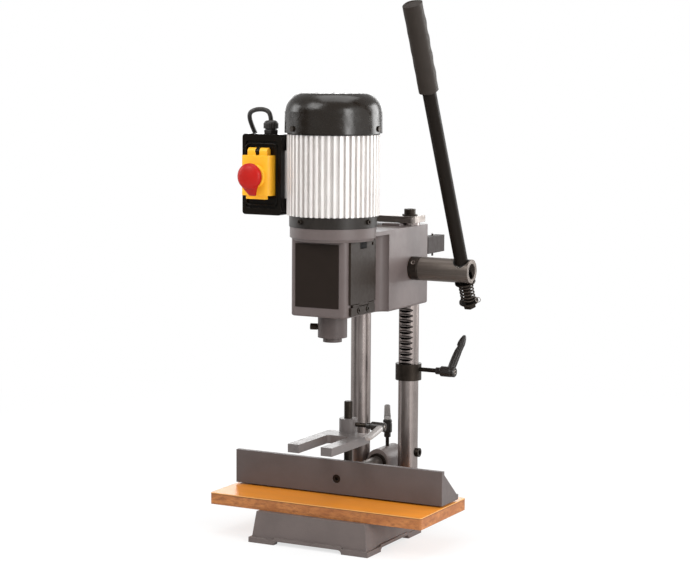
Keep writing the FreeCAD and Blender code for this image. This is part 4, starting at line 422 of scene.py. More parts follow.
@dataclass(frozen=True)
class Finish:
    """A finish that one material stands for."""

    name: str
    tone: str
    roughness: float = 0.5

    def begin(self) -> tuple[bpy.types.Material, Wiring, bpy.types.Node]:
        """Open the finish's material.

        Returns:
            The material, its wiring and its shader node.
        """
        made, w, shader = blank(self.name)
        w.feed(shader, "Roughness", self.roughness)
        return made, w, shader

    def relief(
        self, w: Wiring, shader: bpy.types.Node, height: object, distance: float,
        soft: object | None = None,
    ) -> None:
        """Feed a bump to the shader.

        Args:
            w: The material's wiring.
            shader: The shader node.
            height: The height's socket.
            distance: The depth of the relief in metres.
            soft: A normal that the bump starts from.
        """
        bump = w.node("Bump", Strength=1.0, Distance=distance, Height=height)
        if soft is not None:
            w.feed(bump, "Normal", soft)
        w.feed(shader, "Normal", bump.outputs[0])

    def material(self) -> bpy.types.Material:
        """Build the material."""
        raise NotImplementedError


@dataclass(frozen=True)
class Skin(Finish):
    """A coat or a moulded surface: fine lumps, soft clouds and dust, and corners that rub bare."""

    other_tone: str = "101010"
    cloud: float = 22.0
    cloud_share: float = 0.55
    grain: float = 700.0
    depth: float = 0.00010
    lumps: float = 0.8
    edge: float = 0.0012
    wear: float = 0.35
    worn_shine: float = 0.15
    bare: str = "b0a8a2"
    film: str = "a39a90"
    dust: float = 0.12
    spread: float = 0.05
    gloss: float = 0.0
    gloss_roughness: float = 0.25
    glow: float = 0.5

    def material(self) -> bpy.types.Material:
        """Build the material.

        Returns:
            The material.
        """
        made, w, shader = self.begin()
        worn = SHELF.place(w, Effect.WORN_EDGE, Radius=self.edge, Amount=self.wear)
        grain = SHELF.place(w, Effect.FINE_GRAIN, Scale=self.grain, Lumps=self.lumps)
        clouds = SHELF.place(
            w, Effect.MOTTLE, Tone=linear(self.tone), Other_tone=linear(self.other_tone),
            Scale=self.cloud, Share=self.cloud_share,
        )
        dusty = SHELF.place(
            w, Effect.DUST, Colour=clouds.outputs[0], Film=linear(self.film), Amount=self.dust,
        )
        tone = dusty.outputs[0]
        rough = w.math("ADD", w.math("MULTIPLY", grain.outputs["Spread"], self.spread), self.roughness)
        if self.wear:
            mask = worn.outputs["Mask"]
            tone = w.blend(mask, tone, linear(self.bare))
            rough = w.math("SUBTRACT", rough, w.math("MULTIPLY", mask, self.worn_shine))
        for name, value in (
            ("Base Color", tone), ("Roughness", rough), ("Specular IOR Level", self.glow),
            ("Coat Weight", self.gloss), ("Coat Roughness", self.gloss_roughness),
        ):
            w.feed(shader, name, value)
        self.relief(w, shader, grain.outputs["Height"], self.depth, worn.outputs["Normal"])
        return made


@dataclass(frozen=True)
class Paint(Skin):
    """Sprayed paint over a casting, rubbed bare at its corners."""

    other_tone: str = "6a6564"


@dataclass(frozen=True)
class Plastic(Skin):
    """Moulded plastic or rubber with a fine skin."""

    cloud: float = 30.0
    cloud_share: float = 0.4
    grain: float = 2600.0
    depth: float = 0.00003
    lumps: float = 0.3
    edge: float = 0.0009
    wear: float = 0.0
    film: str = "9a9088"
    dust: float = 0.0
    gloss_roughness: float = 0.1


@dataclass(frozen=True)
class Steel(Finish):
    """Bare or blackened metal with machining lines, and, where set, painted shade on faces that turn up or
    down, such as the tooth flanks in a rack's gaps.
    """

    other_tone: str = "8a827c"
    way: Way = Way.EVEN
    lines: float = 1500.0
    depth: float = 0.00002
    edge: float = 0.0005
    metal: float = 1.0
    sway: float = 0.14
    bare: str = "b8b0a8"
    wear: float = 0.3
    # Painted shade: how far faces that turn up or down, such as tooth flanks, go towards the shade tone.
    painted_gap_shade: float = 0.0
    painted_gap_shade_tone: str = "0e0b09"

    def material(self) -> bpy.types.Material:
        """Build the metal material.

        Returns:
            The material.
        """
        made, w, shader = self.begin()
        worn = SHELF.place(w, Effect.WORN_EDGE, Radius=self.edge, Amount=self.wear, Patch_scale=160.0)
        lines = SHELF.place(w, Effect.BRUSHING, Place=w.place(self.way.value), Scale=self.lines)
        other = linear(self.other_tone)
        tone = w.blend(lines.outputs["Streak"], linear(self.tone), other)
        stains = SHELF.place(w, Effect.MOTTLE, Tone=tone, Other_tone=other, Scale=35.0, Share=0.5)
        tone = w.blend(worn.outputs["Mask"], stains.outputs[0], linear(self.bare))
        # Painted shade for the tooth gaps: faces that turn up or down darken towards a near-black tone.
        if self.painted_gap_shade:
            flank = w.ramp(w.math("ABSOLUTE", w.upward()), 0.05, 0.3)
            tone = w.blend(w.math("MULTIPLY", flank, self.painted_gap_shade), tone, linear(self.painted_gap_shade_tone))
        w.feed(shader, "Base Color", tone)
        w.feed(shader, "Metallic", self.metal)
        sway = w.math("MULTIPLY", w.math("SUBTRACT", lines.outputs["Streak"], 0.5), self.sway)
        w.feed(shader, "Roughness", w.math("ADD", sway, self.roughness, clamp=True))
        self.relief(w, shader, lines.outputs["Height"], self.depth, worn.outputs["Normal"])
        return made


@dataclass(frozen=True)
class BoredSteel(Steel):
    """The hub's steel, with painted shade, near black, where it opens round the lever's rod."""

    middle: Point = (ROD_X * MM, HUB_Y * MM, HUB_Z * MM)
    along: Point = ROD_ALONG
    reach: float = 0.0132
    rim: float = 0.0006
    opening_shade_tone: str = "0c0a08"

    def material(self) -> bpy.types.Material:
        """Build the metal material with painted shade, near black, in its opening.

        Returns:
            The material.
        """
        made = super().material()
        w = Wiring(made.node_tree)
        shader = made.node_tree.nodes[SHADER]
        plain = shader.inputs["Base Color"].links[0].from_socket
        # Painted shade: the surface close to the rod's axis goes near black, for the shade in the opening
        # round the rod.
        away = w.vector("SUBTRACT", w.place(), self.middle)
        side = w.vector("CROSS_PRODUCT", away.outputs[0], self.along)
        gap = w.vector("LENGTH", side.outputs[0])
        dark = w.ramp(gap.outputs["Value"], self.reach - self.rim, self.reach, 1.0, 0.0)
        w.feed(shader, "Base Color", w.blend(dark, plain, linear(self.opening_shade_tone)))
        return made


@dataclass(frozen=True)
class Board(Finish):
    """A pressed board: smooth laminate faces and a raw sawn edge."""

    fibre_tone: str = "c9812f"
    edge_tone: str = "b0703a"
    edge_dark: str = "7c4a24"
    blotch_tone: str = "8c5024"
    skin_tone: str = "d39a54"
    glue_tone: str = "5e361a"
    edge_roughness: float = 0.72
    top: float = 0.065
    skin: float = 0.0006
    glue: float = 0.0019

    def material(self) -> bpy.types.Material:
        """Build the board material.

        Returns:
            The material.
        """
        made, w, shader = self.begin()
        here = w.place()
        flat = w.ramp(w.math("ABSOLUTE", w.upward()), 0.6, 0.9)
        height = w.node("SeparateXYZ", Vector=here).outputs["Z"]
        long_fibre = w.noise(w.place((0.12, 1.0, 1.0)), 60.0, 5.0, 0.65)
        shade = w.ramp(long_fibre, 0.3, 0.72)
        face = w.blend(w.math("MULTIPLY", shade, 0.35), linear(self.tone), linear(self.fibre_tone))
        chips = w.noise(w.place((0.35, 0.35, 1.0)), 260.0, 6.0, 0.75)
        blotch = w.noise(w.place((0.35, 0.35, 1.0)), 55.0, 4.0, 0.6)
        raw = w.blend(w.ramp(chips, 0.36, 0.7), linear(self.edge_tone), linear(self.edge_dark))
        raw = w.blend(w.math("MULTIPLY", w.ramp(blotch, 0.42, 0.66), 0.65), raw, linear(self.blotch_tone))
        for depth, share, tone in ((self.skin, 1.0, self.skin_tone), (self.glue, 0.75, self.glue_tone)):
            off = w.math("ABSOLUTE", w.math("SUBTRACT", height, self.top - depth))
            raw = w.blend(w.ramp(off, 0.0003, 0.0009, share, 0.0), raw, linear(tone))
        w.feed(shader, "Base Color", w.blend(flat, raw, face))
        w.feed(shader, "Roughness", w.ramp(flat, 0.0, 1.0, self.edge_roughness, self.roughness))
        soft = SHELF.place(w, Effect.WORN_EDGE, Radius=0.0007, Amount=0.0)
        pits = w.math("MULTIPLY", chips, w.math("SUBTRACT", 1.0, w.math("MULTIPLY", flat, 0.97)))
        self.relief(w, shader, pits, 0.0005, soft.outputs["Normal"])
        return made


class Finishes(Enum):
    """Every finish of the machine."""

    HEAD_PAINT = Paint(
        "head_paint", "5f5553", 0.38, other_tone="574e4c", glow=0.32, grain=520.0, depth=0.00012,
        bare="968e8a",
    )
    # A darker copy of the head's paint for the chisel collar and bush: painted shade for the shadow they sit
    # in.
    COLLAR_PAINT = Paint(
        "shaded_collar_paint", "4d4442", 0.4, other_tone="453d3b", glow=0.3, grain=520.0, bare="968e8a",
    )
    BASE_PAINT = Paint(
        "base_paint", "625855", 0.46, other_tone="574e4b", glow=0.35, grain=420.0, depth=0.0002, lumps=1.2,
        bare="9a928e",
    )
    FENCE_PAINT = Paint(
        "fence_paint", "564d4b", 0.5, other_tone="4d4543", glow=0.4, grain=1500.0, depth=0.00003, lumps=0.4,
        wear=0.25, bare="8f8783",
    )
    COLUMN_STEEL = Steel("column_steel", "b0a6a2", 0.3, other_tone="8c827e", way=Way.ALONG_Z, lines=900.0)
    # The rack's column carries painted shade on its tooth flanks.
    RACK_STEEL = Steel(
        "rack_steel", "b0a6a2", 0.31, other_tone="8c827e", way=Way.ALONG_Z, lines=900.0, painted_gap_shade=1.0,
    )
    FLAT_STEEL = Steel("flat_steel", "8d8681", 0.36, other_tone="77706b", way=Way.ALONG_X, lines=1300.0)
    BAR_STEEL = Steel("bar_steel", "6f6762", 0.4, other_tone="554e49", metal=0.85, lines=800.0)
    PLAIN_STEEL = Steel("plain_steel", "a49b94", 0.3, other_tone="857c75")
    BLACK_STEEL = Steel(
        "blackened_steel", "3b342e", 0.42, other_tone="2c2621", metal=0.9, bare="6d6661", wear=0.22,
        lines=700.0,
    )
    HUB_STEEL = BoredSteel(
        "hub_steel", "726861", 0.44, other_tone="58504a", metal=0.55, bare="8c847e", way=Way.ALONG_X,
        lines=800.0,
    )
    HUB_BLACK = Steel(
        "hub_black", "4c433c", 0.4, other_tone="362f2a", metal=0.8, bare="8c847e", wear=0.4,
        way=Way.ALONG_X, lines=700.0,
    )
    ROD_BLACK = Plastic(
        "rod_black", "1a1511", 0.42, other_tone="15110d", grain=700.0, depth=0.000006, glow=0.08,
    )
    LEVER_BLACK = Plastic(
        "lever_black", "211c18", 0.34, other_tone="1e1916", grain=900.0, depth=0.0000012, edge=0.00001,
    )
    FORK_CASTING = Paint(
        "fork_casting", "5d5654", 0.38, other_tone="554f4d", grain=650.0, depth=0.00018, wear=0.4,
        bare="bdb6b1", gloss=0.3,
    )
    HANDLE_CASTING = Paint(
        "handle_casting", "96918e", 0.36, other_tone="86817e", grain=900.0, wear=0.3, bare="c5bfba",
    )
    BRIGHT_FINS = Steel(
        "bright_fins", "ebe8e5", 0.4, other_tone="d8d3d0", way=Way.ALONG_Z, lines=420.0, metal=0.22,
        wear=0.0, sway=0.2,
    )
    CAP_BLACK = Plastic(
        "cap_black", "1a140e", 0.25, other_tone="17110c", grain=900.0, depth=0.0000015, edge=0.00001,
        glow=0.42,
    )
    RING_BLACK = Plastic("ring_black", "231e1a", 0.42, other_tone="191512", grain=900.0, glow=0.3, dust=0.1)
    BOX_BLACK = Plastic("box_black", "110d08", 0.2, other_tone="15110c", glow=0.2)
    # Near black for the door's catch block, which fills the notch and so is partly painted shade for the
    # recess.
    WELL_BLACK = Plastic("notch_shade_black", "060504", 0.6, other_tone="050403", glow=0.1)
    DOOR_DARK = Plastic("door_dark", "28201a", 0.46, other_tone="261e19", grain=1500.0, glow=0.2)
    PLATE_BLACK = Plastic(
        "plate_lacquer", "231c18", 0.34, other_tone="1f1915", grain=1800.0, depth=0.00001, glow=0.12,
    )
    RACK_SHEET = Paint(
        "rack_sheet", "2b221f", 0.62, other_tone="251d1a", glow=0.3, grain=1500.0, depth=0.00003, wear=0.2,
    )
    YELLOW = Plastic("guard_yellow", "f7b42b", 0.34, other_tone="f3ad24", gloss=0.1, grain=1400.0, glow=0.3)
    RED = Plastic("stop_red", "ad170f", 0.42, other_tone="9f120c", grain=1400.0, glow=0.2)
    GREEN = Plastic("start_green", "1f8a3c", 0.34, other_tone="187232", gloss=0.3, grain=1400.0, dust=0.1)
    LEAD_BLACK = Plastic("lead_black", "2b2724", 0.42, other_tone="221f1c", grain=1500.0, glow=0.35, dust=0.1)
    GLAND_BLACK = Plastic(
        "gland_black", "2c2825", 0.34, other_tone="231f1d", grain=1500.0, glow=0.4, dust=0.1,
    )
    GRIP_RUBBER = Plastic(
        "grip_skin", "2d2621", 0.56, other_tone="27211c", grain=1800.0, depth=0.00006, glow=0.2,
    )
    WINDINGS = Paint("windings", "7a5a44", 0.5, other_tone="4a3526", grain=600.0)
    BRONZE = Steel("bush_bronze", "a8763c", 0.35, other_tone="7e5629")
    LAMINATE = Board("table_laminate", "e58c27", 0.3)

    def material(self) -> bpy.types.Material:
        """Give the finish's material, built at its first use."""
        return bpy.data.materials.get(self.value.name) or self.value.material()


CARRIED: dict[Finishes, tuple[str, ...]] = {
    Finishes.BASE_PAINT: ("base_casting",),
    Finishes.LAMINATE: ("table_board",),
    Finishes.BLACK_STEEL: (
        "base_screws", "tie_bolts", "bar_bush", "fence_screw", "holddown_post", "bar_lock_stud",
        "fork_lock_stud", "depth_collar", "depth_lock_stud", "hex_key", "hinge_hardware", "cover_screws",
        "chisel_lock_screw",
    ),
    Finishes.COLUMN_STEEL: ("left_column",),
    Finishes.RACK_STEEL: ("right_column",),
    Finishes.FLAT_STEEL: ("tie_plate",),
    Finishes.FENCE_PAINT: ("fence_casting",),
    Finishes.BAR_STEEL: ("fence_bar",),
    Finishes.FORK_CASTING: ("holddown_fork",),
    Finishes.HEAD_PAINT: ("head_casting",),
    Finishes.BRONZE: ("pinion_bush",),
    Finishes.RING_BLACK: ("spring_case", "motor_base", "motor_fan"),
    Finishes.PLAIN_STEEL: (
        "return_spring", "motor_bearings", "flap_pin", "rotor_shaft", "chuck", "pinion_shaft",
    ),
    # The collar and bush wear the shaded copy of the head's paint.
    Finishes.COLLAR_PAINT: ("chisel_collar", "chisel_bush"),
    Finishes.RACK_SHEET: ("tool_rack",),
    Finishes.DOOR_DARK: ("hinge_block", "chamber_door"),
    Finishes.PLATE_BLACK: ("name_plate",),
    Finishes.WINDINGS: ("stator",),
    Finishes.BOX_BLACK: ("switch_box",),
    Finishes.RED: ("stop_button",),
    Finishes.GREEN: ("start_button",),
    Finishes.HUB_STEEL: ("lever_hub",),
    Finishes.LEAD_BLACK: ("power_plug",),
}


# ---- Pieces -------------------------------------------------------------------------------------


def placed(name: str, data: bpy.types.ID) -> bpy.types.Object:
    """Put a new object in the scene.

    Args:
        name: Its name.
        data: Its mesh, curve, lamp or camera.

    Returns:
        The object.
    """
    item = bpy.data.objects.new(name, data)
    bpy.context.scene.collection.objects.link(item)
    return item


def link(name: str, data: bpy.types.ID, finish: Finishes, body: str) -> bpy.types.Object:
    """Put a new piece in the scene.

    Args:
        name: The piece's name.
        data: Its mesh or curve.
        finish: Its finish.
        body: The body that carries it.

    Returns:
        The new object.
    """
    piece = placed(name, data)
    data.materials.append(finish.material())
    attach(piece, body)
    return piece


@dataclass(frozen=True)
class Seat:
    """Where a part stands, in millimetres, and where its own Z and X axes point."""

    at: Point
    along: Point = (0.0, 0.0, 1.0)
    arm: Point = (1.0, 0.0, 0.0)

    def matrix(self) -> Matrix:
        """Give the place and the turn, from millimetres to the scene's metres.

        Returns:
            The matrix for the part's own coordinates.
        """
        z = Vector(self.along).normalized()
        x = Vector(self.arm) - z * z.dot(Vector(self.arm))
        x.normalize()
        turn = Matrix((x, z.cross(x), z)).transposed().to_4x4()
        return Matrix.Scale(MM, 4) @ Matrix.Translation(Vector(self.at)) @ turn


@dataclass(frozen=True)
class Ring:
    """One cross section of a lofted part, across its own height."""

    height: float
    x: float
    half_x: float
    half_y: float
    y: float = 0.0
    square: float = 2.6
    lean: float = 0.0


class Stock:
    """A part's shape while it is made, in millimetres on its own axes."""

    def __init__(self) -> None:
        """Start with nothing."""
        self.shape = bmesh.new()

    def turned(self, profile: Outline, steps: int = 48) -> "Stock":
        """Spin a profile about the part's own Z.

        Args:
            profile: Radius and height of each corner, from one end to the other.
            steps: The number of facets round it.

        Returns:
            The same stock.
        """
        verts = [self.shape.verts.new((radius, 0, height)) for radius, height in profile]
        edges = [self.shape.edges.new(pair) for pair in zip(verts, verts[1:])]
        bmesh.ops.spin(
            self.shape, geom=[*verts, *edges], axis=(0, 0, 1), cent=(0, 0, 0),
            angle=math.tau, steps=steps, use_merge=True,
        )
        bmesh.ops.remove_doubles(self.shape, verts=self.shape.verts, dist=1e-4)
        return self

    def plate(self, outline: Outline, low: float, high: float) -> "Stock":
        """Raise an outline in the own XY plane.

        Args:
            outline: Its corners in order.
            low: The height of its lower face.
            high: The height of its upper face.

        Returns:
            The same stock.
        """
        face = self.shape.faces.new([self.shape.verts.new((x, y, low)) for x, y in outline])
        raised = bmesh.ops.extrude_face_region(self.shape, geom=[face])
        tops = [item for item in raised["geom"] if isinstance(item, bmesh.types.BMVert)]
        bmesh.ops.translate(self.shape, verts=tops, vec=(0, 0, high - low))
        return self

    def lofted(self, rings: Sequence[Ring], steps: int = 32) -> "Stock":
        """Skin a row of rounded sections and close both ends.

        Args:
            rings: The sections from one end to the other.
            steps: The number of corners in each.

        Returns:
            The same stock.
        """
        loops: list[list[bmesh.types.BMVert]] = []
        for ring in rings:
            power = 2 / ring.square
            loop = []
            for step in range(steps):
                angle = math.tau * step / steps
                c, s = math.cos(angle), math.sin(angle)
                x = ring.half_x * math.copysign(abs(c) ** power, c)
                y = ring.half_y * math.copysign(abs(s) ** power, s)
                loop.append(self.shape.verts.new((ring.x + x, ring.y + y, ring.height + x * ring.lean)))
            loops.append(loop)
        for low, high in zip(loops, loops[1:]):
            for step in range(steps):
                after = (step + 1) % steps
                self.shape.faces.new((low[step], low[after], high[after], high[step]))
        self.shape.faces.new(list(reversed(loops[0])))
        self.shape.faces.new(loops[-1])
        return self

    def framed(self, outer: Outline, inner: Outline, low: float, high: float) -> "Stock":
        """Raise a flat frame.

        Args:
            outer: The corners of its outer edge.
            inner: As many corners of its inner edge.
            low: The height of its lower face.
            high: The height of its upper face.

        Returns:
            The same stock.
        """
        rows = [
            [self.shape.verts.new((x, y, height)) for x, y in outline]
            for outline, height in ((outer, low), (outer, high), (inner, high), (inner, low))
        ]
        for row, after in zip(rows, [*rows[1:], rows[0]]):
            for step in range(len(row)):
                other = (step + 1) % len(row)
                self.shape.faces.new((row[step], row[other], after[other], after[step]))
        return self

    def coiled(self, coil: float, wire: float, low: float, high: float, turns: float) -> "Stock":
        """Wind a round wire into an open coil about the part's own Z.

        Args:
            coil: The radius of the coil's middle line.
            wire: The wire's radius.
            low: The height of its first end.
            high: The height of its other end.
            turns: The number of turns.

        Returns:
            The same stock.
        """
        sides, steps = 10, 30
        profile = []
        for side in range(sides):
            angle = math.tau * side / sides
            corner = (coil + wire * math.cos(angle), 0, low + wire * math.sin(angle))
            profile.append(self.shape.verts.new(corner))
        edges = [self.shape.edges.new((profile[k], profile[(k + 1) % sides])) for k in range(sides)]
        count = int(turns * steps)
        bmesh.ops.spin(
            self.shape, geom=[*profile, *edges], axis=(0, 0, 1), cent=(0, 0, 0),
            dvec=(0, 0, (high - low) / count), angle=math.tau * turns, steps=count,
        )
        return self

    def opened(self, axis: int, place: float) -> "Stock":
        """Take away the flat face at one place.

        Args:
            axis: The number of the axis that the face lies across.
            place: Where along that axis it lies.

        Returns:
            The same stock.
        """
        near = 0.01
        flat = [f for f in self.shape.faces if all(abs(v.co[axis] - place) < near for v in f.verts)]
        bmesh.ops.delete(self.shape, geom=flat, context="FACES_ONLY")
        return self

    def piece(
        self, name: str, seat: Seat, finish: Finishes, body: str, slot: str, edge: float = 0.0,
        sharp: float = 35.0, wall: float = 0.0,
    ) -> bpy.types.Object:
        """Put the finished part in the scene.

        Args:
            name: The part's name.
            seat: Where it stands.
            finish: Its finish.
            body: The body that carries it.
            slot: A slot name for its finish; it is not used.
            edge: The radius on its corners, in millimetres.
            sharp: The angle in degrees from which a corner counts as one.
            wall: The thickness of an open shell's wall, in millimetres.

        Returns:
            The new object.
        """
        bmesh.ops.recalc_face_normals(self.shape, faces=self.shape.faces)
        self.shape.transform(seat.matrix())
        mesh = bpy.data.meshes.new(name)
        self.shape.to_mesh(mesh)
        self.shape.free()
        mesh.shade_smooth()
        mesh.set_sharp_from_angle(angle=math.radians(sharp))
        made = link(name, mesh, finish, body)
        if wall:
            shell = made.modifiers.new("wall", "SOLIDIFY")
            shell.thickness = wall * MM
            shell.offset = -1.0
        if edge:
            soften = made.modifiers.new("corners", "BEVEL")
            soften.width = edge * MM
            soften.segments = 3
            soften.limit_method = "ANGLE"
            soften.angle_limit = math.radians(sharp)
            soften.harden_normals = True
        return made


@dataclass(frozen=True)
class ClampLever:
    """A clamp lever's handle: a black hub with a collar and an end screw, and a swept arm."""

    name: str
    body: str
    seat: Seat
    low: float
    high: float
    radius: float
    collar: float
    arm: tuple[Ring, ...]
    arm_finish: Finishes

    def build(self) -> None:
        """Make the hub, its end screw and the arm."""
        low, high, radius, collar = self.low, self.high, self.radius, self.collar
        waist = low + (high - low) * 0.25
        groove = high - (high - low) * 0.22
        hub = Stock().turned([
            (0, low + 1), (collar - 1, low), (collar, low + 1), (collar, waist - 1),
            (collar - 0.6, waist - 0.6), (collar - 0.6, waist), (radius - 1.4, waist),
            (radius, waist + 1.6), (radius, groove), (radius - 0.7, groove + 0.5),
            (radius - 0.7, groove + 1.2), (radius - 0.2, groove + 1.7), (radius - 0.2, high - 1.6),
            (radius - 1.6, high), (radius * 0.56, high), (radius * 0.52, high - 1.6), (0, high - 1.6),
        ]).piece(f"{self.name}_hub", self.seat, Finishes.LEVER_BLACK, self.body, "black_gloss", edge=0.3)
        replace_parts(hub, f"{self.name}_handle")
        head = radius * 0.46
        Stock().turned([
            (0, high - 3), (head, high - 3), (head, high - 0.5), (head - 0.5, high), (head * 0.5, high),
            (head * 0.5, high - 1.8), (0, high - 1.8),
        ]).piece(f"{self.name}_end_screw", self.seat, Finishes.PLAIN_STEEL, self.body, "zinc", edge=0.15)
        towards = Seat(self.seat.at, self.seat.arm, self.seat.along)
        Stock().lofted(self.arm).piece(
            f"{self.name}_arm", towards, self.arm_finish, self.body, "cast_zinc", sharp=50.0,
        )


def clamp_levers() -> tuple[ClampLever, ...]:
    """List the three clamp levers.

    Returns:
        The levers on the depth stop, on the fence bar and on the hold-down.
    """
    lean, away, dip = math.radians(19.7), math.radians(28), math.radians(13.3)
    return (
        ClampLever(
            "depth_lock", "depth_lock",
            Seat((42.5, 162, 243.5), (1, 0, 0), (0, math.sin(lean), math.cos(lean))), low=48, high=81.5,
            radius=8.3, collar=5.6,
            arm=(
                Ring(2, 73.4, 5.4, 5.0), Ring(7, 74.2, 6.4, 4.6), Ring(14, 75.8, 6.6, 4.2),
                Ring(24, 78.2, 6.5, 4.0), Ring(35, 81.2, 6.0, 3.8), Ring(41, 83.8, 5.2, 3.7),
                Ring(42.2, 83.9, 5.4, 3.7), Ring(43.4, 83.7, 6.4, 3.7), Ring(48.5, 84.6, 6.2, 3.6),
                Ring(54, 86.0, 4.8, 3.3), Ring(58, 87.2, 3.2, 2.8), Ring(60, 87.6, 1.6, 1.8),
            ),
            arm_finish=Finishes.LEVER_BLACK,
        ),
        ClampLever(
            "bar_lock", "bar_lock", Seat((0, 174.3, 0), (0, 0, 1), (-math.sin(away), math.cos(away), 0)),
            low=127, high=156, radius=7.4, collar=5.4,
            arm=(
                Ring(-3, 150, 4.0, 5.2), Ring(2, 152, 4.6, 5.6), Ring(6, 155.4, 4.8, 5.6, lean=0.9),
                Ring(11, 161, 4.6, 5.3, lean=0.9), Ring(16, 167.4, 4.3, 5.0, square=3.2, lean=0.9),
                Ring(19.2, 171.8, 4.0, 4.8, square=3.6, lean=0.9),
                Ring(19.9, 172.8, 3.2, 4.1, square=3.4, lean=0.9),
            ),
            arm_finish=Finishes.HANDLE_CASTING,
        ),
        ClampLever(
            "fork_lock", "fork_lock",
            Seat((0, 39.3, 170.5), (1, 0, 0), (0, -math.cos(dip), -math.sin(dip))), low=32, high=64,
            radius=7.2, collar=5.0,
            arm=(
                Ring(0, 57.4, 5.0, 4.6), Ring(6, 57.6, 5.6, 4.8), Ring(16, 57.6, 5.4, 4.6),
                Ring(30, 57.2, 5.6, 4.4), Ring(40, 56.6, 5.8, 4.2), Ring(45, 56.4, 4.8, 3.8),
                Ring(47, 56.2, 3.0, 2.8),
            ),
            arm_finish=Finishes.HANDLE_CASTING,
        ),
    )


def rounded(left: float, right: float, low: float, high: float, radius: float) -> list[tuple[float, float]]:
    """Give a rectangle's outline with round corners.

    Args:
        left: Its lowest first coordinate.
        right: Its highest first coordinate.
        low: Its lowest second coordinate.
        high: Its highest second coordinate.
        radius: The radius of its corners.

    Returns:
        The outline's corners in order.
    """
    steps = 6
    centres = (
        (right - radius, high - radius, 0), (left + radius, high - radius, 90),
        (left + radius, low + radius, 180), (right - radius, low + radius, 270),
    )
    points = []
    for x, y, start in centres:
        for step in range(steps + 1):
            cos, sin = heading(start + 90 * step / steps)
            points.append((x + radius * cos, y + radius * sin))
    return points


def heading(degrees: float) -> tuple[float, float]:
    """Give the cosine and sine of an angle."""
    return (math.cos(math.radians(degrees)), math.sin(math.radians(degrees)))


def hexagon(radius: float) -> list[tuple[float, float]]:
    """Give a hexagon's corners about the middle."""
    return [(radius * cos, radius * sin) for cos, sin in (heading(60 * corner) for corner in range(6))]


